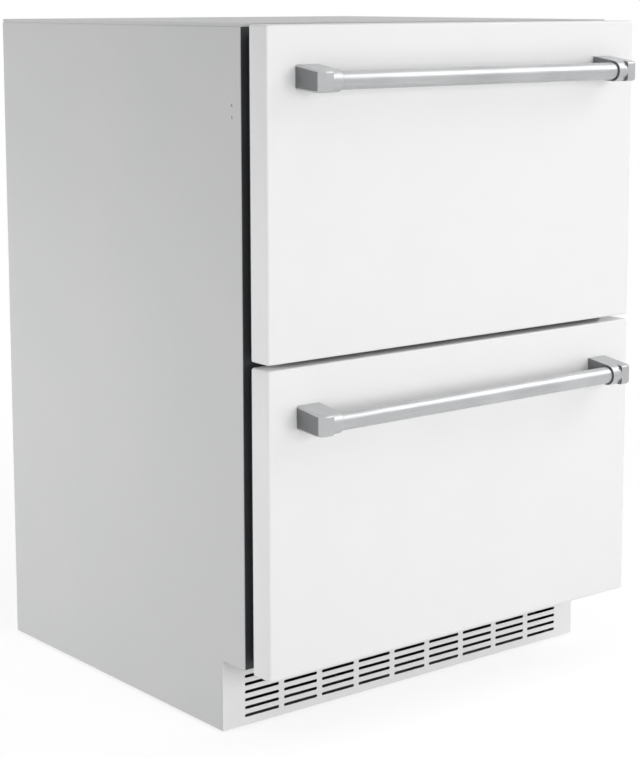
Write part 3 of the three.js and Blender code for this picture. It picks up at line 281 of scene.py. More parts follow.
def soften(bm: BMesh, edges: list, radius: float, segments: int = 4) -> None:
    """Rounds edges to a radius."""
    bmesh.ops.bevel(
        bm,
        geom=edges,
        offset=radius,
        offset_type="OFFSET",
        affect="EDGES",
        segments=segments,
        profile=0.5,
        clamp_overlap=True,
        material=-1,
    )


def rod(bm: BMesh, start: Vector, end: Vector, radius: float, sides: int = 24) -> list:
    """Adds a round rod between two places and returns its vertices."""
    span = end - start
    turn = span.to_track_quat("Z", "Y").to_matrix().to_4x4()
    return bmesh.ops.create_cone(
        bm,
        cap_ends=True,
        segments=sides,
        radius1=radius,
        radius2=radius,
        depth=span.length,
        matrix=Matrix.Translation((start + end) / 2) @ turn,
    )["verts"]


def lathe(
    bm: BMesh,
    profile: list[Pair],
    centre: Vector,
    axis: Axis = Axis.Z,
    sides: int = 32,
) -> list:
    """Spins a profile of (radius, height) points round an axis through a centre.

    Args:
        bm: the mesh.
        profile: from the foot of the axis to its top.
        centre: the foot of the axis.
        axis: the direction of the axis.
        sides: steps in the whole turn.

    Returns:
        The vertices made.
    """
    before = set(bm.verts)
    verts = [bm.verts.new((radius, 0.0, height)) for radius, height in profile]
    edges = [bm.edges.new(pair) for pair in zip(verts, verts[1:])]
    bmesh.ops.spin(
        bm,
        geom=verts + edges,
        cent=(0, 0, 0),
        axis=(0, 0, 1),
        angle=math.tau,
        steps=sides,
        use_merge=True,
    )
    made = [vert for vert in bm.verts if vert not in before]
    bmesh.ops.remove_doubles(bm, verts=made, dist=1e-4)
    made = [vert for vert in bm.verts if vert not in before]
    turn = axis.direction.to_track_quat("Z", "Y").to_matrix().to_4x4()
    bmesh.ops.transform(bm, matrix=Matrix.Translation(centre) @ turn, verts=made)
    return made


def folded(
    bm: BMesh,
    corners: list[Pair],
    axis: Axis,
    start: float,
    end: float,
    sheet: float,
    bend: float = 1.2,
) -> None:
    """Folds a sheet along a path of corners, with round bends, and gives it its thickness.

    Args:
        bm: the mesh.
        corners: (u, v) places of the sheet's outer side.
        axis: the direction of the folds.
        start: where the sheet starts along the axis.
        end: where it ends.
        sheet: thickness, laid to the left of the path.
        bend: outer radius of the folds.
    """
    verts = [bm.verts.new(axis.at(u, v, start)) for u, v in corners]
    edges = [bm.edges.new(pair) for pair in zip(verts, verts[1:])]
    made = bmesh.ops.extrude_edge_only(bm, edges=edges)["geom"]
    far = [item for item in made if isinstance(item, BMVert)]
    bmesh.ops.translate(bm, vec=axis.direction * (end - start), verts=far)
    faces = [item for item in made if isinstance(item, BMFace)]
    turn = point_left(axis, corners[0], corners[1])
    bm.normal_update()
    if faces[0].normal.dot(turn) < 0:
        bmesh.ops.reverse_faces(bm, faces=faces)
    folds = [e for e in edges_along(verts + far, axis) if len(e.link_faces) == 2]
    before = set(bm.faces) - set(faces)
    soften(bm, folds, bend, 3)
    faces = [face for face in bm.faces if face not in before]
    bm.normal_update()
    bmesh.ops.solidify(bm, geom=faces, thickness=-sheet)


def point_left(axis: Axis, first: Pair, second: Pair) -> Vector:
    """Returns the direction to the left of the step from the first corner to the second."""
    du, dv = second[0] - first[0], second[1] - first[1]
    return axis.at(-dv, du, 0.0).normalized()


def bent_tube(
    bm: BMesh, points: list[Vector], radius: float, sides: int = 3, smooth: bool = True
) -> None:
    """Adds a round tube along a curve through points.

    Args:
        bm: the mesh.
        points: places that the tube's middle passes through.
        radius: of the tube.
        sides: the curve's bevel resolution.
        smooth: whether the curve bends softly between the points.
    """
    curve = bpy.data.curves.new("route", "CURVE")
    curve.dimensions = "3D"
    curve.bevel_depth = radius
    curve.bevel_resolution = sides
    curve.resolution_u = 6
    curve.use_fill_caps = True
    spline = curve.splines.new("NURBS" if smooth else "POLY")
    spline.points.add(len(points) - 1)
    for target, point in zip(spline.points, points):
        target.co = (*point, 1.0)
    spline.use_endpoint_u = True
    spline.order_u = 4
    carrier = bpy.data.objects.new("route", curve)
    bpy.context.scene.collection.objects.link(carrier)
    shaped = carrier.evaluated_get(bpy.context.evaluated_depsgraph_get())
    mesh = bpy.data.meshes.new_from_object(shaped)
    bm.from_mesh(mesh)
    bpy.data.objects.remove(carrier)
    bpy.data.curves.remove(curve)
    bpy.data.meshes.remove(mesh)


def mirrored(bm: BMesh) -> None:
    """Turns a left-hand piece into the right-hand one."""
    bmesh.ops.transform(bm, matrix=Matrix.Scale(-1.0, 4, Vector((1.0, 0.0, 0.0))), verts=bm.verts)
    bmesh.ops.reverse_faces(bm, faces=bm.faces)


# ------------------------------------------------------------------ finishes
def linear(code: str) -> tuple[float, float, float, float]:
    """Turns an sRGB hex colour such as #f2f2f2 into linear values."""
    parts = [int(code[i : i + 2], 16) / 255 for i in (1, 3, 5)]
    turned = [c / 12.92 if c <= 0.04045 else ((c + 0.055) / 1.055) ** 2.4 for c in parts]
    return (*turned, 1.0)


def add_node(
    tree: NodeTree,
    kind: str,
    values: dict | None = None,
    links: dict | None = None,
    **settings: object,
) -> Node:
    """Adds a shader node.

    Args:
        tree: the node tree.
        kind: the node's type.
        values: input name or index to its value.
        links: input name or index to the output that feeds it.
        **settings: the node's own properties.

    Returns:
        The node.
    """
    node = tree.nodes.new(kind)
    for name, value in settings.items():
        setattr(node, name, value)
    for socket, value in (values or {}).items():
        node.inputs[socket].default_value = value
    for socket, source in (links or {}).items():
        tree.links.new(source, node.inputs[socket])
    return node


@dataclass(frozen=True)
class Finish:
    """A surface with a fine uneven pattern in its colour, its gloss and its height.

    A pattern finer than about 1 mm doesn't show at the photograph's scale, so it is drawn
    as coarse as its grain_mm says.
    """

    name: str
    colour: str
    shade: str  # colour that the pattern reaches in places
    grain_mm: float
    roughness: float
    spread: float = 0.06  # change of roughness over the pattern
    relief_mm: float = 0.01
    metallic: float = 0.0
    coat: float = 0.0
    cloud_mm: float = 90.0  # size of the slow change in shade
    stretch: Place = (1.0, 1.0, 1.0)
    detail: float = 3.0

    def pattern(self, tree: NodeTree, place: NodeSocket) -> NodeSocket:
        """Returns the output that carries the fine pattern."""
        return add_node(
            tree,
            "ShaderNodeTexNoise",
            values={"Scale": 1.0 / (self.grain_mm * MM), "Detail": self.detail, "Roughness": 0.55},
            links={"Vector": place},
        ).outputs["Fac"]

    def build(self) -> Material:
        """Makes the material and returns it."""
        material = bpy.data.materials.new(self.name)
        material.use_nodes = True
        tree = material.node_tree
        tree.nodes.clear()
        where = add_node(tree, "ShaderNodeTexCoord").outputs["Object"]
        place = add_node(
            tree, "ShaderNodeMapping", values={"Scale": self.stretch}, links={"Vector": where}
        ).outputs["Vector"]
        fine = self.pattern(tree, place)
        cloud = add_node(
            tree,
            "ShaderNodeTexNoise",
            values={"Scale": 1.0 / (self.cloud_mm * MM), "Detail": 2.0},
            links={"Vector": where},
        ).outputs["Fac"]
        both = add_node(
            tree, "ShaderNodeMath", operation="MULTIPLY", links={0: fine, 1: cloud}
        ).outputs["Value"]
        amount = add_node(
            tree,
            "ShaderNodeMapRange",
            values={"From Min": 0.12, "From Max": 0.42, "To Min": 0.0, "To Max": 1.0},
            links={"Value": both},
        ).outputs["Result"]
        tint = add_node(
            tree,
            "ShaderNodeMix",
            data_type="RGBA",
            values={6: linear(self.colour), 7: linear(self.shade)},
            links={0: amount},
        ).outputs[2]
        gloss = add_node(
            tree,
            "ShaderNodeMapRange",
            values={
                "From Min": 0.3,
                "From Max": 0.7,
                "To Min": self.roughness - self.spread,
                "To Max": self.roughness + self.spread,
            },
            links={"Value": fine},
        ).outputs["Result"]
        bump = add_node(
            tree,
            "ShaderNodeBump",
            values={"Strength": 1.0, "Distance": self.relief_mm * MM},
            links={"Height": fine},
        ).outputs["Normal"]
        shader = add_node(
            tree,
            "ShaderNodeBsdfPrincipled",
            values={"Metallic": self.metallic, "Coat Weight": self.coat, "Coat Roughness": 0.12},
            links={"Base Color": tint, "Roughness": gloss, "Normal": bump},
        )
        self.adjust(shader)
        add_node(tree, "ShaderNodeOutputMaterial", links={"Surface": shader.outputs["BSDF"]})
        return material

    def adjust(self, shader: Node) -> None:
        """Sets what only this kind of finish has on the shader."""


@dataclass(frozen=True)
class Spangled(Finish):
    """Hot-dip zinc: flat crystals, each a slightly different grey."""

    def pattern(self, tree: NodeTree, place: NodeSocket) -> NodeSocket:
        """Returns the grey of each crystal."""
        cells = add_node(
            tree,
            "ShaderNodeTexVoronoi",
            values={"Scale": 1.0 / (self.grain_mm * MM)},
            links={"Vector": place},
        ).outputs["Color"]
        return add_node(tree, "ShaderNodeRGBToBW", links={"Color": cells}).outputs["Val"]


@dataclass(frozen=True)
class Clear(Finish):
    """A moulded plastic that lets some light through."""

    transmission: float = 0.5

    def adjust(self, shader: Node) -> None:
        """Lets light through."""
        shader.inputs["Transmission Weight"].default_value = self.transmission
        shader.inputs["IOR"].default_value = 1.49


# Baked enamel on steel: an even white with a soft gloss and a faint orange peel.
WHITE_ENAMEL = Finish("White enamel, baked", "#f3f3f3", "#f1f1f1", 2.2, 0.32, 0.03, 0.004, coat=0.15)
# Satin polyester paint on the cabinet: a light neutral grey, duller than the fronts.
GREY_PAINT = Finish(
    "Grey polyester paint, satin", "#d4d4d4", "#d0d1d2", 1.8, 0.46, 0.04, 0.006, cloud_mm=160.0
)
# Dark grey paint on the frame behind the gaskets; its darkness is partly painted shade for the gap round the
# fronts.
FRAME_PAINT_AND_GAP_SHADE = Finish("Dark grey paint, satin", "#44464a", "#3b3d40", 1.5, 0.5, 0.05, 0.01)
# Stainless steel, brushed along the bar: long fine streaks that draw the highlight out.
BRUSHED_BAR = Finish(
    "Stainless steel, brushed", "#c4c5c6", "#b2b3b4", 0.9, 0.33, 0.07, 0.004, 1.0, stretch=(0.02, 1.0, 1.0)
)
# Cast handle brackets: blasted to a satin, so they show no streaks and a wider highlight.
SATIN_CAST = Finish("Stainless steel, cast and blasted", "#c6c7c8", "#b8b9bb", 1.1, 0.34, 0.05, 0.01, 1.0)
# Painted shade: the brackets' flat end faces get a darker grey than their front and top, so that they look
# shaded.
PAINTED_SHADE_END = Finish("Stainless steel, painted shade on the ends", "#8a8b8d", "#7e7f81", 1.3, 0.4, 0.05, 0.014, 1.0)
# Zinc-plated slide steel: cool grey with a faint roll direction from front to back.
ZINC_PLATE = Finish(
    "Steel, zinc plated", "#b6babd", "#a3a8ac", 1.2, 0.36, 0.06, 0.004, 1.0, stretch=(1.0, 0.06, 1.0)
)
# Galvanised sheet of the rear panel and its cover: crystals a few millimetres across.
GALVANISED = Spangled("Steel sheet, galvanised", "#b3b7ba", "#abb0b3", 6.0, 0.42, 0.04, 0.0, 0.6)
# High-impact polystyrene, vacuum formed: white, soft gloss, slightly wavy.
WHITE_STYRENE = Finish("Polystyrene, vacuum formed", "#eeefef", "#e4e6e7", 5.0, 0.34, 0.04, 0.03)
# Moulded ABS, near black: a fine spark-eroded grain that dulls it.
BLACK_ABS = Finish("ABS, moulded black", "#26272a", "#1d1e20", 0.9, 0.52, 0.06, 0.02)
# Light grey moulded cover of the mullion.
GREY_ABS = Finish("ABS, moulded grey", "#a6a9ac", "#9a9da0", 0.9, 0.5, 0.05, 0.02)
# Soft magnetic PVC: matt, charcoal, with fine extrusion lines.
GASKET_PVC = Finish("PVC gasket, extruded", "#2d2e31", "#242528", 1.4, 0.62, 0.05, 0.02)
# Rigid polyurethane foam: yellowish, with small cells.
FOAM = Finish("Polyurethane foam", "#e6cf98", "#cfb276", 1.6, 0.9, 0.05, 0.3, detail=6.0)
# Polystyrene bins: clear, faintly blue-grey, glossy.
BIN_PLASTIC = Clear(
    "Polystyrene bin, moulded", "#e9edf0", "#dfe4e8", 4.0, 0.16, 0.03, 0.008, transmission=0.35
)
# Frosted lens over the lamp strip.
LENS = Clear("Polycarbonate lens, frosted", "#f4f6f6", "#eaeeee", 1.2, 0.42, 0.04, 0.02, transmission=0.4)
# Gloss-black touch glass.
TOUCH_GLASS = Finish("Touch panel, gloss black", "#0e0f11", "#131416", 3.0, 0.1, 0.02, 0.0, coat=0.6)
# Stove enamel on the compressor: glossy black over a slightly uneven pressed can.
BLACK_ENAMEL = Finish("Black stove enamel", "#15161a", "#1d1f22", 3.5, 0.3, 0.06, 0.03)
# Powder coat on the base pan: matt black with a fine texture.
BLACK_COAT = Finish("Black powder coat", "#17181a", "#101113", 1.2, 0.72, 0.05, 0.03)
# Drawn copper tube, dulled by handling.
COPPER = Finish("Copper tube, drawn", "#b8744f", "#8f5a3e", 6.0, 0.34, 0.09, 0.01, 1.0)
# Rolled aluminium fins.
ALUMINIUM = Finish("Aluminium fin sheet, rolled", "#c9ccd0", "#b8bcc0", 2.0, 0.34, 0.07, 0.004, 1.0)


MATERIALS: dict[str, Material] = {}


def dressed(finish: Finish) -> Material:
    """Returns the finish's material, made once."""
    if finish.name not in MATERIALS:
        MATERIALS[finish.name] = finish.build()
    return MATERIALS[finish.name]


def finish_piece(
    bm: BMesh,
    name: str,
    finish: Finish,
    body: str,
    nodes: tuple[str, ...] = (),
    edge: float = 0.3,
    crease: float = 40.0,
) -> Object:
    """Turns a drawn mesh into a finished piece of the object.

    Args:
        bm: the mesh, in millimetres in the cabinet's frame; it is freed.
        name: the piece's name.
        finish: its surface.
        body: the body that it rides on.
        nodes: the nodes that it stands for.
        edge: radius that its sharp edges are softened to, or 0.
        crease: angle in degrees over which an edge is sharp.

    Returns:
        The piece's object.
    """
    bmesh.ops.recalc_face_normals(bm, faces=bm.faces)
    bmesh.ops.transform(bm, matrix=TO_FRAME, verts=bm.verts)
    mesh = bpy.data.meshes.new(name)
    bm.to_mesh(mesh)
    bm.free()
    mesh.shade_smooth()
    mesh.set_sharp_from_angle(angle=math.radians(crease))
    mesh.materials.append(dressed(finish))
    piece = bpy.data.objects.new(name, mesh)
    bpy.context.scene.collection.objects.link(piece)
    if edge > 0:
        bevel = piece.modifiers.new("soft edges", "BEVEL")
        bevel.width = edge * MM
        bevel.segments = 2
        bevel.limit_method = "ANGLE"
        bevel.angle_limit = math.radians(crease)
    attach(piece, body)
    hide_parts(*nodes)
    LOG.info("%s: %d faces on %s", name, len(mesh.polygons), body)
    return piece


def dress_nodes(finish: Finish, *names: str) -> None:
    """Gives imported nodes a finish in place."""
    for name in names:
        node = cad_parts[name]
        node.data.materials.clear()
        node.data.materials.append(dressed(finish))
        LOG.info("%s: dressed with %s", name, finish.name)


class Side(Enum):
    """A side of the object, as seen from the front."""

    LEFT = "left"
    RIGHT = "right"

    def settle(self, bm: BMesh) -> None:
        """Moves a piece that was drawn on the left to this side."""
        if self is Side.RIGHT:
            mirrored(bm)


def spread(count: int, pitch: float) -> list[float]:
    """Returns evenly spaced places, centred on zero."""
    return [(i - (count - 1) / 2) * pitch for i in range(count)]


# ------------------------------------------------------------------ cabinet
@dataclass
class Cabinet:
    """Sheet-metal shell, toe space, face frame, liner and legs."""

    body: str = "cabinet"
    top_skirt: float = 4.0
    rear_return: float = 14.0
    joggle: float = 2.5  # strip that laps behind the top panel's skirt
    bottom_return: float = 16.0
    toe_height: float = 90.5
    toe_depth: float = 46.2
    kick_fold: float = 12.0
    slot_columns: int = 9
    slot_rows: int = 6
    slot_length: float = 53.1
    slot_height: float = 4.0
    slot_land: float = 7.7
    slot_pitch: float = 10.1
    lowest_slot: float = 12.2
    hole_setback: float = 17.0
    hole_heights: tuple[float, ...] = (757.0, 771.0)
    hole_radius: float = 2.0
    cavity_half: float = 258.0
    cavity_floor: float = 124.5
    cavity_top: float = 824.0
    cavity_back: float = 504.0
    step_front: float = 299.0
    step_top: float = 241.0
    liner_sheet: float = 1.5
    liner_radius: float = 14.0
    frame_sheet: float = 1.2
    frame_return: float = 12.0
    mullion: Pair = (441.25, 495.25)
    mullion_depth: float = 30.0
    cover_top: float = 211.0  # where the machine cover meets the rear panel
    rib_half: float = 14.0
    rib_slope: float = 3.5
    rib_height: float = 1.0
    rib_ends: Pair = (60.0, 62.0)  # plain sheet below and above the ribs
    louvre_places: Pair = (-150.0, 60.0)
    louvre_length: float = 150.0
    louvre_height: float = 6.0
    louvre_rows: int = 6
    louvre_pitch: float = 22.0
    pan_height: float = 9.0
    pan_fold: float = 18.0
    leg_inset: float = 38.0
    leg_places: Pair = (88.0, 510.0)

    def build(self) -> None:
        """Makes every piece of the cabinet."""
        for side in Side:
            self.side_panel(side)
        self.top_panel()
        self.kick_plate()
        self.face_frame()
        self.mullion_bar()
        self.rear_panel()
        self.machine_cover()
        PowerInlet().build(self.body)
        self.base_pan()
        self.liner()
        for front, y in zip(("front", "rear"), self.leg_places):
            for side in Side:
                self.leg(front, side, y)
        dress_nodes(FOAM, "insulation")

    def side_panel(self, side: Side) -> None:
        """Makes a side panel: the toe notch, two fastening holes and folds behind and below."""
        bm = bmesh.new()
        x = -HALF_WIDTH
        top = HEIGHT - self.top_skirt - GAP
        notch = self.toe_depth + SHEET + GAP
        fold_start = self.toe_depth + self.kick_fold + GAP
        corners = [(notch, 0), (fold_start, 0), (DEPTH, 0), (DEPTH, top), (0, top)]
        corners += [(0, self.toe_height), (notch, self.toe_height)]
        loops = [outline(bm, corners, Axis.X, x)]
        for z in self.hole_heights:
            loops.append(ring_loop(bm, self.hole_setback, z, self.hole_radius, Axis.X, x, 12))
        fill(bm, [edge for loop in loops for edge in loop])
        rear = lying_at(bm.edges, Axis.Y, DEPTH)
        bottom = lying_at(bm.edges, Axis.Z, 0.0)
        below = [e for e in bottom if all(v.co.y > fold_start - 1 for v in e.verts)]
        fold(bm, rear, Vector((self.rear_return, 0, 0)))
        fold(bm, below, Vector((self.bottom_return, 0, 0)))
        give_wall(bm, Vector((1, 0, 0)), SHEET)
        behind = (x + SHEET, x + SHEET + 0.7 * GAP)
        block(bm, behind, (2.0, DEPTH - 2.0), (top - self.joggle, top + self.joggle))
        for z in self.hole_heights:
            closed = Vector((x + SHEET, self.hole_setback, z))
            rod(bm, closed, closed + Vector((0.7 * GAP, 0, 0)), self.hole_radius + 1.0, 12)
        side.settle(bm)
        name = f"side_panel_{side.value}"
        finish_piece(bm, f"{name}_sheet", GREY_PAINT, self.body, (name,), 0.45)

    def top_panel(self) -> None:
        """Makes the top panel with its rounded skirt."""
        bm = bmesh.new()
        loop = round_loop(bm, (-HALF_WIDTH, HALF_WIDTH), (0, DEPTH), 2.0, Axis.Z, HEIGHT)
        fill(bm, loop)
        rim = [edge for edge in bm.edges if edge.is_boundary]
        fold(bm, rim, Vector((0, 0, -self.top_skirt)))
        soften(bm, rim, 1.3, 4)
        give_wall(bm, Vector((0, 0, -1)), SHEET)
        finish_piece(bm, "top_panel_sheet", GREY_PAINT, self.body, ("top_panel",), 0.2)

    def kick_plate(self) -> None:
        """Makes the kick plate: a grid of round-ended slots between two folds."""
        bm = bmesh.new()
        y = self.toe_depth
        top = self.toe_height - 2 * GAP
        half = INNER_HALF
        corners = [(-HALF_WIDTH, 0), (-half, 0), (half, 0), (HALF_WIDTH, 0)]
        corners += [(HALF_WIDTH, top), (half, top), (-half, top), (-HALF_WIDTH, top)]
        edges = outline(bm, corners, Axis.Y, y)
        reach = self.slot_length / 2
        for x in spread(self.slot_columns, self.slot_length + self.slot_land):
            for row in range(self.slot_rows):
                z = self.lowest_slot + row * self.slot_pitch
                tall = self.slot_height / 2
                edges += round_loop(bm, (x - reach, x + reach), (z - tall, z + tall), tall, Axis.Y, y, 3)
        fill(bm, edges)
        for level in (0.0, top):
            whole = lying_at(bm.edges, Axis.Z, level)
            middle = [e for e in whole if all(abs(v.co.x) <= half + NEAR for v in e.verts)]
            fold(bm, middle, Vector((0, self.kick_fold, 0)))
        give_wall(bm, Vector((0, 1, 0)), SHEET)
        finish_piece(bm, "kick_plate_sheet", WHITE_ENAMEL, self.body, ("kick_plate",), 0.25)

    def face_frame(self) -> None:
        """Makes the flat frame that the gaskets seat on."""
        bm = bmesh.new()
        low = self.toe_height + GAP
        high = HEIGHT - self.top_skirt - GAP
        half = INNER_HALF
        rim = outline(bm, [(-half, low), (half, low), (half, high), (-half, high)], Axis.Y, 0.0)
        edges = list(rim)
        across = (-self.cavity_half, self.cavity_half)
        for opening in ((self.cavity_floor, self.mullion[0]), (self.mullion[1], self.cavity_top)):
            edges += round_loop(bm, across, opening, self.liner_radius, Axis.Y, 0.0)
        fill(bm, edges)
        below, *others = rim
        fold(bm, others, Vector((0, self.frame_return, 0)))
        fold(bm, [below], Vector((0, self.toe_depth + SHEET, 0)))
        give_wall(bm, Vector((0, 1, 0)), self.frame_sheet)
        # The frame's dark grey partly stands in for the shade in the gasket gap.
        finish_piece(bm, "face_frame_sheet", FRAME_PAINT_AND_GAP_SHADE, self.body, ("face_frame",), 0.4)

    def mullion_bar(self) -> None:
        """Makes the bar between the drawers."""
        bm = bmesh.new()
        half = self.cavity_half - GAP
        front = self.frame_sheet + GAP
        verts = block(bm, (-half, half), (front, front + self.mullion_depth), self.mullion)
        soften(bm, edges_along(verts, Axis.X), 3.0)
        finish_piece(bm, "centre_mullion_cover", GREY_ABS, self.body, ("centre_mullion",))

    def rear_panel(self) -> None:
        """Makes the rear panel with its pressed ribs."""
        bm = bmesh.new()
        back = BACK
        low, high = self.cover_top, HEIGHT - SHEET - GAP - self.top_skirt
        half = INNER_HALF
        edges = outline(bm, [(-half, low), (half, low), (half, high), (-half, high)], Axis.Y, back)
        wide, slope = self.rib_half, self.rib_slope
        narrow = wide - slope
        start, end = low + self.rib_ends[0], high - self.rib_ends[1]
        ribs = {}
        for x in spread(4, 2 * HALF_WIDTH / 5):
            ribs[x] = round_loop(bm, (x - wide, x + wide), (start, end), wide - 1, Axis.Y, back)
            edges += ribs[x]
        fill(bm, edges)
        for x, rim in ribs.items():
            across, along = (x - narrow, x + narrow), (start + slope, end - slope)
            crest = round_loop(bm, across, along, narrow - 1, Axis.Y, back + self.rib_height)
            bmesh.ops.bridge_loops(bm, edges=rim + crest)
            bmesh.ops.contextual_create(bm, geom=crest)
        give_wall(bm, Vector((0, -1, 0)), SHEET)
        finish_piece(bm, "rear_panel_sheet", GALVANISED, self.body, ("rear_panel",), 0.2, 25.0)

    def machine_cover(self) -> None:
        """Makes the louvred cover over the machine compartment."""
        bm = bmesh.new()
        back = BACK
        low, high = self.pan_height + SHEET + GAP, self.cover_top - GAP
        half = INNER_HALF
        edges = round_loop(bm, (-half, half), (low, high), 4.0, Axis.Y, back)
        reach, tall = self.louvre_length / 2, self.louvre_height / 2
        for x in self.louvre_places:
            for z in spread(self.louvre_rows, self.louvre_pitch):
                level = (low + high) / 2 + z
                along = (level - tall, level + tall)
                edges += round_loop(bm, (x - reach, x + reach), along, tall, Axis.Y, back)
        x, z = PowerInlet().centre
        edges += round_loop(bm, (x - 24.4, x + 24.4), (z - 14.4, z + 14.4), 4.0, Axis.Y, back)
        fill(bm, edges)
        give_wall(bm, Vector((0, -1, 0)), SHEET)
        finish_piece(bm, "machine_cover_sheet", GALVANISED, self.body, ("machine_cover",), 0.2)

    def base_pan(self) -> None:
        """Makes the base pan: a folded tray with leg bosses and rubber mounts."""
        bm = bmesh.new()
        half = INNER_HALF
        front = self.toe_depth + SHEET + 2 * GAP + self.kick_fold
        back = DEPTH - 2 * SHEET - 3 * GAP
        rim = self.pan_height + self.pan_fold
        path = [(-half, rim), (-half, self.pan_height), (half, self.pan_height), (half, rim)]
        folded(bm, path, Axis.Y, front, back, SHEET)
        for y in (front, back - SHEET):
            block(bm, (-half, half), (y, y + SHEET), (self.pan_height, self.pan_height + self.pan_fold / 2))
        for y in self.leg_places:
            for x in (-HALF_WIDTH + self.leg_inset, HALF_WIDTH - self.leg_inset):
                profile = [(7.2, 0.2), (11.0, 0.2), (11.0, 12.8), (10.0, 14.0), (7.2, 14.0), (7.2, 0.2)]
                lathe(bm, profile, Vector((x, y, self.pan_height)), sides=24)
        finish_piece(bm, "base_pan_tray", BLACK_COAT, self.body, ("base_pan",), 0.2)
        mounts = bmesh.new()
        profile = [(0, 0.3), (12, 0.3), (12, 4), (9, 7), (9, 9)]
        profile += [(11.5, 12), (11.5, 15), (10.5, 16), (0, 16)]
        for x, y in Compressor().mounts:
            lathe(mounts, profile, Vector((x, y, self.pan_height + SHEET - 0.5)), sides=24)
        finish_piece(mounts, "compressor_mounts", GASKET_PVC, self.body, (), 0.0)

    def liner(self) -> None:
        """Makes the vacuum-formed liner, which steps over the machine compartment."""
        bm = bmesh.new()
        front = self.frame_sheet + GAP
        corners = [(front, self.cavity_floor), (self.step_front, self.cavity_floor)]
        corners += [(self.step_front, self.step_top), (self.cavity_back, self.step_top)]
        corners += [(self.cavity_back, self.cavity_top), (front, self.cavity_top)]
        prism(bm, corners, Axis.X, -self.cavity_half, self.cavity_half)
        bmesh.ops.delete(bm, geom=lying_at(bm.faces, Axis.Y, front), context="FACES_ONLY")
        bmesh.ops.recalc_face_normals(bm, faces=bm.faces)
        inner = [e for e in bm.edges if len(e.link_faces) == 2]
        soften(bm, inner, self.liner_radius, 5)
        bm.normal_update()
        self.outward_wall(bm, Vector((0, 250, 500)), self.liner_sheet)
        finish_piece(bm, "liner_shell", WHITE_STYRENE, self.body, ("liner",), 0.0)

    def outward_wall(self, bm: BMesh, inside: Vector, thickness: float) -> None:
        """Gives an open shell a wall on its outer side, seen from a place inside it."""
        roof = max(bm.faces, key=lambda face: face.calc_center_median().z)
        towards = inside - roof.calc_center_median()
        if roof.normal.dot(towards) < 0:
            bmesh.ops.reverse_faces(bm, faces=bm.faces)
            bm.normal_update()
        bmesh.ops.solidify(bm, geom=list(bm.faces), thickness=thickness)

    def leg(self, front: str, side: Side, y: float) -> None:
        """Makes a levelling leg: a threaded stud in a flanged foot."""
        bm = bmesh.new()
        centre = Vector((-HALF_WIDTH + self.leg_inset, y, -ORIGIN_Z))
        lathe(bm, [(0, 0), (17, 0), (18.6, 0.6), (19, 2), (19, 4.5), (16, 5.6), (10, 7), (0, 7)], centre)
        collar = rod(bm, centre + Vector((0, 0, 1)), centre + Vector((0, 0, 11)), 10.0, 6)
        soften(bm, edges_along(collar, Axis.Z), 0.6, 2)
        thread = [(0.0, 8.0), (5.2, 8.0)]
        for turn in range(22):
            height = 9.0 + turn * 1.6
            thread += [(5.9, height + 0.4), (5.2, height + 1.2)]
        lathe(bm, thread + [(4.4, 46.0), (0, 46.0)], centre, sides=24)
        side.settle(bm)
        name = f"leg_{front}_{side.value}"
        body = f"{front}_{side.value}_leg"
        finish_piece(bm, f"{name}_screw", BLACK_ABS, body, (name,), 0.0)


@dataclass
class PowerInlet:
    """Appliance inlet in the rear cover: a flanged socket with three pins."""

    width: float = 48.0
    height: float = 28.0
    centre: Pair = (213.0, 70.0)

    def build(self, body: str) -> None:
        """Makes the inlet on a body."""
        bm = bmesh.new()
        x, z = self.centre
        back = BACK
        wide, tall = self.width / 2, self.height / 2
        outside = round_loop(bm, (x - wide, x + wide), (z - tall, z + tall), 4.0, Axis.Y, back)
        mouth = round_loop(bm, (x - 13, x + 13), (z - 9, z + 9), 3.0, Axis.Y, back)
        plate(bm, [outside, mouth], Axis.Y, -17.0)
        bottom = round_loop(bm, (x - wide, x + wide), (z - tall, z + tall), 4.0, Axis.Y, back - 17.0)
        plate(bm, [bottom], Axis.Y, -7.0)
        across, along = (x - wide - 9, x + wide + 9), (z - tall - 3, z + tall + 3)
        flange = round_loop(bm, across, along, 5.0, Axis.Y, back - 1.3)
        plate(bm, [flange], Axis.Y, -2.7)
        for offset, rise in ((-7, 0), (0, 4), (7, 0)):
            block(bm, (x + offset - 1, x + offset + 1), (back - 18, back - 2), (z + rise - 2, z + rise + 2))
        finish_piece(bm, "power_inlet_socket", BLACK_ABS, body, ("power_inlet",), 0.3)


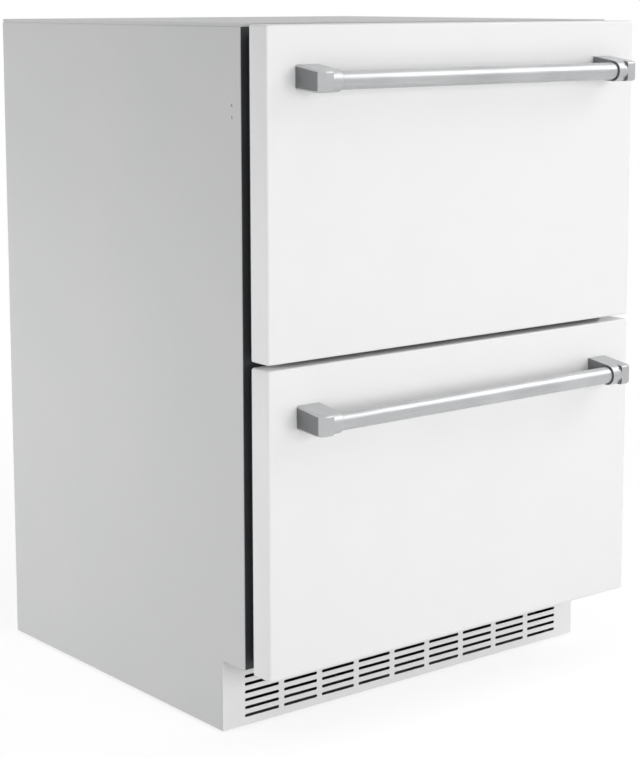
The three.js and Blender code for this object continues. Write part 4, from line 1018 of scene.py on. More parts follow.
# ------------------------------------------------------------------ refrigeration
@dataclass
class Compressor:
    """Hermetic compressor on its foot plate, with the drain pan on top."""

    x: float = 60.0
    y: float = 443.5
    half_x: float = 92.0
    half_y: float = 70.0
    foot: float = 25.8
    height: float = 132.0
    foot_sheet: float = 3.0
    pan_height: float = 22.0
    pan_sheet: float = 2.0
    body: str = "cabinet"

    @property
    def mounts(self) -> list[Pair]:
        """Returns the places of the four rubber mounts."""
        reach_x, reach_y = self.half_x - 6, self.half_y - 4
        return [(self.x + sx * reach_x, self.y + sy * reach_y) for sx in (-1, 1) for sy in (-1, 1)]

    def build(self) -> None:
        """Makes the compressor and the pan."""
        bm = bmesh.new()
        tall = self.height - self.foot_sheet / 2
        seam = tall * 0.52
        profile = [(0, 0), (0.55, 0), (0.74, 3), (0.85, 9), (0.92, 18), (0.95, 30), (0.95, seam)]
        profile += [(1.0, seam + 0.5), (1.0, seam + 5.5), (0.94, seam + 6), (0.92, seam + 12)]
        profile += [(0.86, tall * 0.8), (0.76, tall * 0.88), (0.6, tall * 0.945)]
        profile += [(0.4, tall * 0.985), (0.2, tall), (0, tall)]
        can = lathe(bm, profile, Vector((0, 0, 0)), sides=48)
        shape = Matrix.Diagonal((self.half_x - 8, self.half_y - 6, 1.0, 1.0))
        place = Matrix.Translation((self.x, self.y, self.foot + self.foot_sheet / 2))
        bmesh.ops.transform(bm, matrix=place @ shape, verts=can)
        across = (self.x - self.half_x - 7, self.x + self.half_x + 7)
        along = (self.y - self.half_y - 7, self.y + self.half_y + 7)
        plate(bm, [round_loop(bm, across, along, 14.0, Axis.Z, self.foot)], Axis.Z, self.foot_sheet)
        side = self.x + self.half_x
        box = block(bm, (side - 26, side + 12), (self.y - 28, self.y + 28), (self.foot + 36, self.foot + 88))
        soften(bm, edges_of(box), 5.0, 3)
        finish_piece(bm, "compressor_can", BLACK_ENAMEL, self.body, ("compressor",), 0.4)
        self.drain_pan()

    def drain_pan(self) -> None:
        """Makes the tray that dries off the defrost water."""
        bm = bmesh.new()
        low = self.foot + self.height + GAP
        x, y = self.half_x - 2, self.half_y - 2
        high = low + self.pan_height
        verts = block(bm, (self.x - x, self.x + x), (self.y - y, self.y + y), (low, high))
        bmesh.ops.delete(bm, geom=lying_at(bm.faces, Axis.Z, high), context="FACES_ONLY")
        soften(bm, edges_along(verts, Axis.Z), 15.0, 5)
        soften(bm, lying_at(bm.edges, Axis.Z, low), 4.0, 3)
        give_wall(bm, Vector((0, 0, 1)), self.pan_sheet)
        finish_piece(bm, "drain_pan_tray", BLACK_ABS, self.body, ("drain_pan",), 0.3)


@dataclass
class FinCoil:
    """A serpentine tube threaded through thin plate fins."""

    half_length: float
    depth: float
    bottom: float
    height: float
    fins: int
    passes: int
    tube: float = 4.0
    margin: float = 14.0
    sheet: float = 0.5

    def build(self, bm: BMesh) -> None:
        """Draws the coil along X, centred on x and y at zero."""
        span = self.half_length - self.margin
        half, deep = self.sheet / 2, self.depth / 2
        for x in spread(self.fins, 2 * span / (self.fins - 1)):
            block(bm, (x - half, x + half), (-deep, deep), (self.bottom, self.bottom + self.height))
        pitch = self.height / self.passes
        levels = [self.bottom + self.height / 2 + z for z in spread(self.passes, pitch)]
        reach = self.half_length
        route = [Vector((-reach - 4, 0, levels[0])), Vector((-reach, 0, levels[0]))]
        for i, level in enumerate(levels):
            end = reach if i % 2 == 0 else -reach
            route.append(Vector((end, 0, level)))
            if i + 1 < len(levels):
                middle = level + pitch / 2
                for step in range(1, 8):
                    turn = math.pi * step / 8
                    out = math.copysign(math.sin(turn) * (pitch / 2), end)
                    route.append(Vector((end + out, 0, middle - math.cos(turn) * pitch / 2)))
                route.append(Vector((end, 0, level + pitch)))
        bent_tube(bm, route, self.tube, 3, smooth=False)


@dataclass
class Fan:
    """An axial rotor about Z with swept blades."""

    hub: float
    tip: float
    width: float
    blades: int = 5
    pitch_degrees: float = 24.0

    def build(self, bm: BMesh, bore: float) -> None:
        """Draws the rotor with its foot at the origin and a blind bore."""
        w = self.width
        profile = [(0, w - 6), (bore, w - 6), (bore, 0), (self.hub - 1.5, 0), (self.hub, 1.5)]
        profile += [(self.hub, w - 3), (self.hub - 1, w - 1), (self.hub - 3, w), (0, w)]
        lathe(bm, profile, Vector((0, 0, 0)), sides=40)
        for number in range(self.blades):
            before = set(bm.verts)
            sweep = [math.radians(angle) for angle in range(14, 60, 4)]
            corners = [(self.tip * math.cos(a), self.tip * math.sin(a)) for a in sweep]
            root = [math.radians(angle) for angle in (34, 22, 11, 0)]
            corners += [(self.hub * 0.8 * math.cos(a), self.hub * 0.8 * math.sin(a)) for a in root]
            prism(bm, corners, Axis.Z, -0.8, 0.8)
            verts = [v for v in bm.verts if v not in before]
            turn = Matrix.Rotation(math.tau * number / self.blades, 4, "Z")
            pitch = Matrix.Rotation(math.radians(self.pitch_degrees), 4, "X")
            lean = Matrix.Translation((0, 0, w / 2)) @ pitch
            start = Matrix.Rotation(math.radians(-29), 4, "Z")
            bmesh.ops.transform(bm, matrix=turn @ lean @ start, verts=verts)


@dataclass
class Machine:
    """Everything in the machine compartment beside the compressor."""

    body: str = "cabinet"
    condenser_x: float = -231.0
    condenser_y: float = 443.0
    condenser_low: float = 10.3
    condenser_tall: float = 150.0
    shroud_half: float = 74.0
    fan_radius: float = 60.0
    fan_offset: float = 52.0
    drier: Place = (-95.0, 353.0, 29.05)
    drier_half: float = 62.0
    box_vents: int = 5
    line_bend: float = 14.0
    machine_front: float = 335.0

    def build(self) -> None:
        """Makes the compartment's pieces."""
        Compressor().build()
        self.condenser()
        self.shroud()
        self.fan()
        self.filter_drier()
        self.control_box()
        self.lines()

    @property
    def fan_x(self) -> float:
        """Returns where the fan's shroud stands."""
        return self.condenser_x + self.fan_offset

    @property
    def fan_z(self) -> float:
        """Returns the height of the fan's axis."""
        return self.condenser_low + self.shroud_half

    def run_height(self, index: int) -> float:
        """Returns the height of one of the condenser's tube runs."""
        return self.condenser_low + self.condenser_tall * (index + 0.5) / 4

    def in_air_stream(self, bm: BMesh, x: float) -> None:
        """Turns a piece drawn about Z to one about X, at a place across the compartment."""
        turn = Matrix.Rotation(math.radians(-90), 4, "Y")
        place = Matrix.Translation((x, self.condenser_y, self.fan_z))
        bmesh.ops.transform(bm, matrix=place @ turn, verts=bm.verts)

    def condenser(self) -> None:
        """Makes the condenser."""
        bm = bmesh.new()
        FinCoil(74.0, 44.0, self.condenser_low, self.condenser_tall, 34, 4).build(bm)
        turn = Matrix.Rotation(math.radians(90), 4, "Z")
        place = Matrix.Translation((self.condenser_x, self.condenser_y, 0))
        bmesh.ops.transform(bm, matrix=place @ turn, verts=bm.verts)
        finish_piece(bm, "condenser_coil", BLACK_ENAMEL, self.body, ("condenser",), 0.0)

    def shroud(self) -> None:
        """Makes the fan's shroud with the motor on its arms."""
        bm = bmesh.new()
        half, mouth = self.shroud_half, self.fan_radius + 4
        outer = round_loop(bm, (-half, half), (-half, half), 5.0, Axis.Z, 0.0)
        plate(bm, [outer, ring_loop(bm, 0, 0, mouth, Axis.Z, 0.0, 64)], Axis.Z, 2.0)
        collar = [(mouth, 0.2), (mouth + 2, 0.2), (mouth + 2, 11.2)]
        collar += [(mouth + 1, 12), (mouth, 11.2), (mouth, 0.2)]
        lathe(bm, collar, Vector((0, 0, 0)), sides=64)
        for angle in (45, 135):
            arm = block(bm, (-mouth - 6, mouth + 6), (-4, 4), (-3, 1))
            turn = Matrix.Rotation(math.radians(angle), 4, "Z")
            bmesh.ops.transform(bm, matrix=turn, verts=arm)
        lathe(bm, [(0, -34), (19, -34), (22, -31), (22, 1), (20, 2), (0, 2)], Vector((0, 0, 0)), sides=40)
        rod(bm, Vector((0, 0, 0)), Vector((0, 0, 17)), 3.0, 16)
        self.in_air_stream(bm, self.fan_x)
        finish_piece(
            bm, "condenser_fan_frame", BLACK_ABS, self.body, ("condenser_fan_shroud",), 0.3
        )

    def fan(self) -> None:
        """Makes the condenser fan's rotor."""
        bm = bmesh.new()
        Fan(17.0, self.fan_radius, 20.0).build(bm, 3.3)
        self.in_air_stream(bm, self.fan_x - 4)
        finish_piece(
            bm, "condenser_fan_rotor", BLACK_ABS, "condenser_rotor", ("condenser_fan",), 0.3
        )

    def filter_drier(self) -> None:
        """Makes the filter drier on its clip."""
        bm = bmesh.new()
        half = self.drier_half
        ends = [(3, 14), (4.2, 15.5), (7, 18), (9.2, 21), (10, 24)]
        profile = [(0, -half), (3, -half)] + [(r, d - half) for r, d in ends]
        profile += [(r, half - d) for r, d in reversed(ends)] + [(3, half), (0, half)]
        lathe(bm, profile, Vector(self.drier), Axis.X, 32)
        x, y, z = self.drier
        low = self.condenser_low
        block(bm, (x - 6, x + 6), (y - 8, y + 8), (low, z - 4))
        block(bm, (x - 6, x + 6), (y - 16, y + 16), (low, low + 2))
        finish_piece(bm, "filter_drier_can", COPPER, self.body, ("filter_drier",), 0.2)

    def control_box(self) -> None:
        """Makes the electrical housing with its vents and lid."""
        bm = bmesh.new()
        x0, x1 = HALF_WIDTH - 92, HALF_WIDTH - 20
        y0, y1 = self.machine_front + 30, DEPTH - 60
        low = self.condenser_low
        edges = round_loop(bm, (y0, y1), (low, low + 60), 2.0, Axis.X, x0)
        pitch = (y1 - y0) / (self.box_vents + 2)
        for y in spread(self.box_vents, pitch):
            middle = (y0 + y1) / 2 + y
            across = (middle - pitch / 5, middle + pitch / 5)
            edges += round_loop(bm, across, (low + 14, low + 46), pitch / 5, Axis.X, x0)
        plate(bm, [edges], Axis.X, 4.0)
        body = block(bm, (x0 + 4, x1), (y0, y1), (low, low + 60))
        soften(bm, [e for e in edges_along(body, Axis.Z) if e.verts[0].co.x > x1 - 1], 5.0)
        lid = block(bm, (x0 - 2, x1 + 2), (y0 - 2, y1 + 2), (low + 60, low + 68))
        soften(bm, edges_along(lid, Axis.Z), 6.0)
        soften(bm, [e for e in bm.edges if all(v.co.z > low + 67.9 for v in e.verts)], 2.0, 3)
        finish_piece(bm, "control_box_case", BLACK_ABS, self.body, ("control_box",), 0.3)

    def lines(self) -> None:
        """Makes the two refrigerant lines."""
        shell = Compressor()
        x, y, z = shell.x - shell.half_x + 5, shell.y - 20, shell.foot + shell.height / 2
        port_y = self.condenser_y - 78 - GAP
        top = self.run_height(3)
        rise = top - z
        bend = self.line_bend
        along = self.machine_front + 12
        out = self.condenser_x
        hot = [(x, y, z), (x - bend, y, z), (x - 2 * bend, y - bend, z + rise * 0.25)]
        hot += [(x - 2.5 * bend, along + bend, z + rise * 0.6), (x - 3.5 * bend, along, z + rise * 0.9)]
        hot += [(out + 3 * bend, along, top), (out + bend, along, top)]
        hot += [(out, port_y - bend / 2, top), (out, port_y, top)]
        bm = bmesh.new()
        bent_tube(bm, [Vector(p) for p in hot], 4.0, 4)
        finish_piece(bm, "discharge_tube", COPPER, self.body, ("discharge_line",), 0.0)
        low = self.run_height(0)
        end = (self.drier[0] - self.drier_half - GAP, self.drier[1], self.drier[2])
        cold = [(out, port_y, low), (out, port_y - bend / 2, low), (out + bend / 2, end[1] + 3.0, low)]
        cold += [(out + 1.5 * bend, end[1], end[2]), (end[0] - bend, end[1], end[2]), end]
        bm = bmesh.new()
        bent_tube(bm, [Vector(p) for p in cold], 3.0, 4)
        finish_piece(bm, "liquid_tube", COPPER, self.body, ("liquid_line",), 0.0)


@dataclass
class Evaporator:
    """Cold coil behind its cover, with the circulating fan."""

    body: str = "cabinet"
    half: float = 252.0
    low: float = 247.0
    high: float = 818.0
    front: float = 454.0
    slot_reach: float = 59.0
    sheet: float = 2.0
    rim: float = 16.0
    fan_z: float = 734.0

    def build(self) -> None:
        """Makes the cover, coil and fan."""
        self.cover()
        self.coil()
        self.fan()

    def cover(self) -> None:
        """Makes the cover with its supply and return slots."""
        bm = bmesh.new()
        outer = round_loop(bm, (-self.half, self.half), (self.low, self.high), 8.0, Axis.Y, self.front)
        edges = list(outer)
        for x in spread(3, 140):
            across = (x - self.slot_reach, x + self.slot_reach)
            for z in (self.high - 16, self.high - 26, self.low + 16, self.low + 26):
                edges += round_loop(bm, across, (z - 2.5, z + 2.5), 2.5, Axis.Y, self.front)
        fill(bm, edges)
        fold(bm, outer, Vector((0, self.rim, 0)))
        soften(bm, outer, 4.0, 3)
        give_wall(bm, Vector((0, 1, 0)), self.sheet)
        for side in (-1, 1):
            for share in (0.3, 0.7):
                z = self.low + (self.high - self.low) * share
                x = side * (self.half - 20)
                rod(bm, Vector((x, self.front + 1.5, z)), Vector((x, 503.7, z)), 6.0, 20)
        start = Vector((0, self.front + 1.5, self.fan_z))
        rod(bm, start, start + Vector((0, 10.5, 0)), 15.0, 28)
        rod(bm, start, start + Vector((0, 20.5, 0)), 2.0, 12)
        finish_piece(
            bm, "evaporator_cover_panel", WHITE_STYRENE, self.body, ("evaporator_cover",)
        )

    def coil(self) -> None:
        """Makes the evaporator."""
        bm = bmesh.new()
        FinCoil(186.0, 30.0, 301.0, 200.0, 44, 4).build(bm)
        bmesh.ops.translate(bm, vec=(0, 486, 0), verts=bm.verts)
        for x in (-176, 176):
            block(bm, (x - 6, x + 6), (486, 503.7), (441, 453))
        finish_piece(bm, "evaporator_coil", ALUMINIUM, self.body, ("evaporator",), 0.0)

    def fan(self) -> None:
        """Makes the circulating fan's rotor."""
        bm = bmesh.new()
        Fan(14.0, 46.0, 14.0).build(bm, 2.3)
        turn = Matrix.Rotation(math.radians(-90), 4, "X")
        place = Matrix.Translation((0, self.front + 12.5, self.fan_z))
        bmesh.ops.transform(bm, matrix=place @ turn, verts=bm.verts)
        finish_piece(
            bm, "evaporator_fan_rotor", BLACK_ABS, "evaporator_rotor", ("evaporator_fan",)
        )


@dataclass
class Interior:
    """Lamp and touch panel under the cavity's roof."""

    body: str = "cabinet"
    top: float = 823.7
    half: float = 120.0

    def build(self) -> None:
        """Makes the lamp and the panel."""
        bm = bmesh.new()
        steps = [math.pi + math.pi * i / 16 for i in range(1, 16)]
        corners = [(58.0, self.top)] + [(72 + 14 * math.cos(a), self.top + 14 * math.sin(a)) for a in steps]
        prism(bm, corners + [(86.0, self.top)], Axis.X, -self.half, self.half)
        finish_piece(bm, "interior_lamp_lens", LENS, self.body, ("interior_lamp",), 1.2, 35.0)
        bm = bmesh.new()
        t = self.top
        corners = [(12, t), (12, t - 6), (18, t - 15), (46, t - 9), (46, t)]
        prism(bm, corners, Axis.X, -self.half, self.half)
        finish_piece(bm, "touch_panel", TOUCH_GLASS, self.body, ("control_panel",), 1.0)


# ------------------------------------------------------------------ drawers
class Level(Enum):
    """The two drawers, with the door's bottom and top, the bin's front and rear floors and its rim."""

    UPPER = ("upper", 471.3, 864.9, 504.25, 504.25, 774.0)
    LOWER = ("lower", 88.5, 465.2, 133.5, 250.0, 425.25)


@dataclass
class Drawer:
    """A drawer: its front, handle, bin and slides."""

    level: Level
    door_back: float = -15.8
    door_front: float = -50.8
    skin_sheet: float = 0.9
    panel_sheet: float = 2.0
    panel_inset: float = 3.0
    plug_inset: float = 60.0
    plug_height: float = 9.0
    gasket_inset: float = 15.0
    bar_radius: float = 11.0
    bar_projection: float = 34.5
    bar_drop: float = 63.7
    bracket_width: float = 34.0
    bracket_inset: float = 41.0
    bracket_rise: float = 18.2
    bracket_fall: float = 11.0
    bracket_rim: float = 2.5
    bracket_block: float = 19.0
    bracket_plan_radius: float = 9.0
    bracket_edge: float = 3.6
    bin_half: float = 244.7
    bin_front: float = 6.0
    bin_back: float = 440.0
    deep_back: float = 290.0
    bin_wall: float = 2.5
    bin_rim: float = 6.0
    slide_run: Pair = (8.0, 438.0)
    slide_sheet: float = 1.4
    wall_x: float = -258.0
    slide_thickness: float = 12.7
    half_heights: Place = (22.5, 18.1, 13.7)

    name: str = field(init=False)
    bottom: float = field(init=False)
    top: float = field(init=False)
    floor: float = field(init=False)
    rear_floor: float = field(init=False)
    rim: float = field(init=False)

    def __post_init__(self) -> None:
        """Takes the places that differ between the drawers."""
        self.name, self.bottom, self.top, self.floor, self.rear_floor, self.rim = self.level.value

    @property
    def body(self) -> str:
        """Returns the body that the drawer is."""
        return f"{self.name}_drawer"

    @property
    def bar_y(self) -> float:
        """Returns where the bar's axis is in front of the cabinet."""
        return self.door_front - self.bar_projection

    @property
    def bar_z(self) -> float:
        """Returns the bar's height."""
        return self.top - self.bar_drop

    def build(self) -> None:
        """Makes every piece of the drawer."""
        self.skin()
        self.inner_panel()
        self.gasket()
        self.bar()
        for side in Side:
            self.bracket(side)
        self.bin()
        for side in Side:
            self.outer_slide(side)
            self.middle_slide(side)
            self.inner_slide(side)
        dress_nodes(FOAM, f"{self.name}_door_foam")

    def ring(self, bm: BMesh, inset: float, radius: float, y: float, quarter: int = 5) -> list:
        """Draws the front's outline, drawn in by an inset, and returns its edges."""
        across = (-HALF_WIDTH + inset, HALF_WIDTH - inset)
        return round_loop(bm, across, (self.bottom + inset, self.top - inset), radius, Axis.Y, y, quarter)

    def skin(self) -> None:
        """Makes the painted steel skin: soft front edges and a return behind."""
        bm = bmesh.new()
        back = self.door_back - self.panel_sheet - GAP
        rim = self.ring(bm, 0.0, 3.5, back)
        far = [v for e in self.ring(bm, 0.0, 3.5, self.door_front) for v in e.verts]
        front = list({e for v in far for e in v.link_edges})
        bmesh.ops.bridge_loops(bm, edges=rim + front)
        bmesh.ops.contextual_create(bm, geom=front)
        inner = self.ring(bm, 8.0, 1.0, back)
        join_rings(bm, rim, inner)
        soften(bm, front, 3.0, 5)
        soften(bm, rim, 1.0, 3)
        give_wall(bm, Vector((0, 1, 0)), self.skin_sheet)
        name = f"{self.name}_door_skin"
        finish_piece(bm, f"{name}_steel", WHITE_ENAMEL, self.body, (name,), 0.0, 50.0)

    def inner_panel(self) -> None:
        """Makes the formed inner panel with its groove and raised middle."""
        bm = bmesh.new()
        y, sheet = self.door_back, self.panel_sheet
        outer = self.ring(bm, self.panel_inset, 2.0, y)
        groove_out = self.ring(bm, self.gasket_inset - 1.5, 5.0, y)
        deep_out = self.ring(bm, self.gasket_inset - 1.5, 5.0, y - 4.3)
        deep_in = self.ring(bm, self.gasket_inset + 1.5, 3.5, y - 4.3)
        groove_in = self.ring(bm, self.gasket_inset + 1.5, 3.5, y)
        foot = self.ring(bm, self.plug_inset, 12.0, y)
        crest = self.ring(bm, self.plug_inset + 2.5, 10.0, y + self.plug_height)
        loops = [outer, groove_out, deep_out, deep_in, groove_in, foot, crest]
        for near, far in zip(loops, loops[1:]):
            join_rings(bm, near, far)
        bmesh.ops.contextual_create(bm, geom=crest)
        soften(bm, foot, 2.5, 3)
        soften(bm, crest, 4.0, 4)
        give_wall(bm, Vector((0, -1, 0)), sheet * 0.55)
        name = f"{self.name}_door_inner_panel"
        finish_piece(bm, f"{name}_form", WHITE_STYRENE, self.body, (name,), 0.0, 50.0)

    def gasket(self) -> None:
        """Makes the magnetic gasket: lip, folded neck and bulb, swept round the front's back."""
        bm = bmesh.new()
        back = self.door_back
        middle = self.gasket_inset
        neck = [(1.2, -4.0), (1.2, 0.3), (6.5, 0.3), (6.5, 1.5), (3.0, 3.3), (2.2, 4.6)]
        neck += [(3.6, 6.2), (2.2, 7.8), (3.6, 9.2), (5.5, 10.2)]
        half = [(u, back + y) for u, y in neck] + [(5.5, -1.0), (4.8, -GAP)]
        section = half + [(-u, y) for u, y in reversed(half)]
        loops = [self.ring(bm, middle + u, 6.0 - u * 0.5, y, 4) for u, y in section]
        for near, far in zip(loops, loops[1:] + loops[:1]):
            join_rings(bm, near, far)
        name = f"{self.name}_gasket"
        finish_piece(bm, f"{name}_profile", GASKET_PVC, self.body, (name,), 0.0, 50.0)

    def bar(self) -> None:
        """Makes the tubular handle bar."""
        bm = bmesh.new()
        reach = HALF_WIDTH - self.bracket_inset - self.bracket_width + 19.7
        start = Vector((-reach, self.bar_y, self.bar_z))
        rod(bm, start, start + Vector((2 * reach, 0, 0)), self.bar_radius, 96)
        name = f"{self.name}_handle_bar"
        finish_piece(bm, f"{name}_tube", BRUSHED_BAR, self.body, (name,), 0.3)

    def bracket(self, side: Side) -> None:
        """Makes a handle bracket: a soft-edged block, and beside it the round nose that holds the bar."""
        bm = bmesh.new()
        outer = -HALF_WIDTH + self.bracket_inset
        step = outer + self.bracket_block
        self.bracket_end(bm, outer, step)
        self.bracket_nose(bm, step - 1.0, outer + self.bracket_width)
        side.settle(bm)
        bm.normal_update()
        # Painted shade: faces that point along x get the darker second material.
        for face in bm.faces:
            face.material_index = int(abs(face.normal.x) > 0.97)
        name = f"{self.name}_handle_bracket_{side.value}"
        piece = finish_piece(bm, f"{name}_cast", SATIN_CAST, self.body, (name,), 0.7, 42.0)
        # The second material is painted shade on the bracket's ends.
        piece.data.materials.append(dressed(PAINTED_SHADE_END))

    @property
    def nose_radius(self) -> float:
        """Returns the radius of the bracket's nose."""
        return self.bar_radius + self.bracket_rim

    def bracket_end(self, bm: BMesh, outer: float, step: float) -> None:
        """Draws the bracket's outer end: square in front, with soft corners."""
        back, z, nose = self.door_front - GAP, self.bar_z, self.nose_radius
        front = self.bar_y - nose
        corners = [(back, z - self.bracket_fall), (back, z + self.bracket_rise), (self.bar_y, z + nose)]
        corners += [(front, z + nose - 1.2), (front, z - nose + 0.6), (self.bar_y, z - nose)]
        verts = prism(bm, corners, Axis.X, outer, step)
        upright = lying_at(lying_at(edges_along(verts, Axis.Z), Axis.X, outer), Axis.Y, front)
        soften(bm, upright, self.bracket_plan_radius, 6)
        covered = set(lying_at(bm.edges, Axis.X, step) + lying_at(bm.edges, Axis.Y, back))
        bent = [e for e in bm.edges if e.calc_face_angle(0.0) > math.radians(30)]
        soften(bm, [e for e in bent if e not in covered], self.bracket_edge, 4)

    def bracket_nose(self, bm: BMesh, start: float, end: float) -> None:
        """Draws the bracket's inner part, round in front, with the socket of the bar."""
        back, z, nose = self.door_front - GAP, self.bar_z, self.nose_radius
        top_turn = math.atan2(self.bracket_rise - nose, self.bar_projection)
        low_turn = math.atan2(nose - self.bracket_fall, self.bar_projection)
        first, last = math.pi / 2 + top_turn, math.pi * 1.5 - low_turn
        corners = [(back, z - self.bracket_fall), (back, z + self.bracket_rise)]
        for i in range(33):
            angle = first + (last - first) * i / 32
            corners.append((self.bar_y + nose * math.cos(angle), z + nose * math.sin(angle)))
        prism(bm, corners, Axis.X, start, end)
        cap = lying_at(bm.faces, Axis.X, end)
        rim = list({e for f in cap for e in f.edges})
        bmesh.ops.delete(bm, geom=cap, context="FACES_ONLY")
        socket = ring_loop(bm, self.bar_y, z, self.bar_radius + GAP, Axis.X, end, 48)
        fill(bm, rim + socket)
        deep = fold(bm, socket, Vector((start + 0.5 - end, 0, 0)))
        floor = {e for f in deep for e in f.edges if all(v.co.x < start + 1 for v in e.verts)}
        bmesh.ops.contextual_create(bm, geom=list(floor))

    def bin(self) -> None:
        """Makes the bin: a moulded tub, stepped where it clears the machine compartment."""
        bm = bmesh.new()
        corners = [(self.bin_front, self.floor), (self.bin_back, self.floor)]
        if self.rear_floor > self.floor:
            corners = [(self.bin_front, self.floor), (self.deep_back, self.floor)]
            corners += [(self.deep_back, self.rear_floor), (self.bin_back, self.rear_floor)]
        corners += [(self.bin_back, self.rim), (self.bin_front, self.rim)]
        prism(bm, corners, Axis.X, -self.bin_half, self.bin_half)
        bmesh.ops.delete(bm, geom=lying_at(bm.faces, Axis.Z, self.rim), context="FACES_ONLY")
        bmesh.ops.recalc_face_normals(bm, faces=bm.faces)
        soften(bm, [e for e in bm.edges if len(e.link_faces) == 2], 13.0, 6)
        give_wall(bm, Vector((0, 0, 1)), self.bin_wall)
        grown, lip = self.bin_rim, self.rim
        across = (-self.bin_half - grown, self.bin_half + grown)
        outside = round_loop(bm, across, (self.bin_front, self.bin_back + grown), 19.0, Axis.Z, lip, 6)
        inset = self.bin_wall - 0.4
        across = (-self.bin_half + inset, self.bin_half - inset)
        along = (self.bin_front + inset, self.bin_back - inset)
        inside = round_loop(bm, across, along, 11.0, Axis.Z, lip, 6)
        plate(bm, [outside, inside], Axis.Z, -3.0)
        for x in spread(5, 2 * self.bin_half / 6):
            y0, y1 = self.bin_front + 30, (self.deep_back if len(corners) > 4 else self.bin_back) - 30
            low = self.floor + self.bin_wall
            rib = block(bm, (x - 3, x + 3), (y0, y1), (low - 1, low + 1.5))
            soften(bm, edges_along(rib, Axis.Z), 2.5, 3)
        name = f"{self.name}_bin"
        finish_piece(bm, f"{name}_tub", BIN_PLASTIC, self.body, (name,), 0.5, 50.0)

    @property
    def slide_z(self) -> float:
        """Returns the height of the slides' middle."""
        return self.rear_floor + 40.0

    def channel(self, bm: BMesh, web: float, mouth: float, half: float) -> None:
        """Draws a slide member: a web and two flanges towards the mouth, both from the wall."""
        x, z = self.wall_x, self.slide_z
        path = [(x + mouth, z + half), (x + web, z + half), (x + web, z - half), (x + mouth, z - half)]
        if mouth < web:
            path.reverse()
        folded(bm, path, Axis.Y, *self.slide_run, self.slide_sheet, self.slide_sheet * 1.4)

    def outer_slide(self, side: Side) -> None:
        """Makes the member that is screwed to the liner."""
        bm = bmesh.new()
        mouth = self.slide_thickness - self.slide_sheet - 2 * GAP
        self.channel(bm, GAP, mouth, self.half_heights[0])
        side.settle(bm)
        name = f"{self.name}_slide_outer_{side.value}"
        finish_piece(bm, f"{name}_rail", ZINC_PLATE, "cabinet", (name,), 0.25)

    def middle_slide(self, side: Side) -> None:
        """Makes the middle member with its rows of balls."""
        bm = bmesh.new()
        web = self.slide_sheet + 2 * GAP + 0.6
        mouth = self.slide_thickness - self.slide_sheet - 1.2
        half = self.half_heights[1]
        self.channel(bm, web, mouth, half)
        x = self.wall_x + (web + mouth) / 2 + 1
        for level in (half + 1.35, half - self.slide_sheet - 1.35):
            for way in (-1, 1):
                for y in spread(20, 20.0):
                    place = Matrix.Translation((x, sum(self.slide_run) / 2 + y, self.slide_z + way * level))
                    bmesh.ops.create_icosphere(bm, subdivisions=1, radius=1.4, matrix=place)
        side.settle(bm)
        name = f"{self.name}_slide_middle_{side.value}"
        finish_piece(bm, f"{name}_rail", ZINC_PLATE, f"{self.name}_slides", (name,), 0.0, 60.0)

    def inner_slide(self, side: Side) -> None:
        """Makes the member on the bin's side, with the upright that bolts to the front."""
        bm = bmesh.new()
        mouth = 2 * self.slide_sheet + 2 * GAP + 1.6
        half = self.half_heights[2]
        self.channel(bm, self.slide_thickness, mouth, half)
        x = self.wall_x + self.slide_thickness - self.slide_sheet
        face = self.door_back + self.plug_height + GAP
        z = self.slide_z
        foot, head = z - 44.5, z + 60.0
        reach = self.slide_run[0] + 30
        corners = [(face, foot), (face + 10, foot), (reach, z - half)]
        corners += [(reach, z + half), (face + 10, head), (face, head)]
        prism(bm, corners, Axis.X, x, x + self.slide_sheet)
        flange = [(x, foot), (x + 26, foot), (x + 26, head), (x, head)]
        loops = [outline(bm, flange, Axis.Y, face)]
        loops += [ring_loop(bm, x + 15, level, 2.6, Axis.Y, face, 16) for level in (foot + 14, z, head - 14)]
        plate(bm, loops, Axis.Y, self.slide_sheet)
        for level in (foot + 14, z, head - 14):
            centre = Vector((x + 15, face + self.slide_sheet, level))
            lathe(bm, [(0, 2.6), (3.4, 2.6), (4.6, 1.4), (4.8, 0.1), (0, 0.1)], centre, Axis.Y, 20)
        side.settle(bm)
        name = f"{self.name}_slide_inner_{side.value}"
        finish_piece(bm, f"{name}_rail", ZINC_PLATE, self.body, (name,), 0.25)


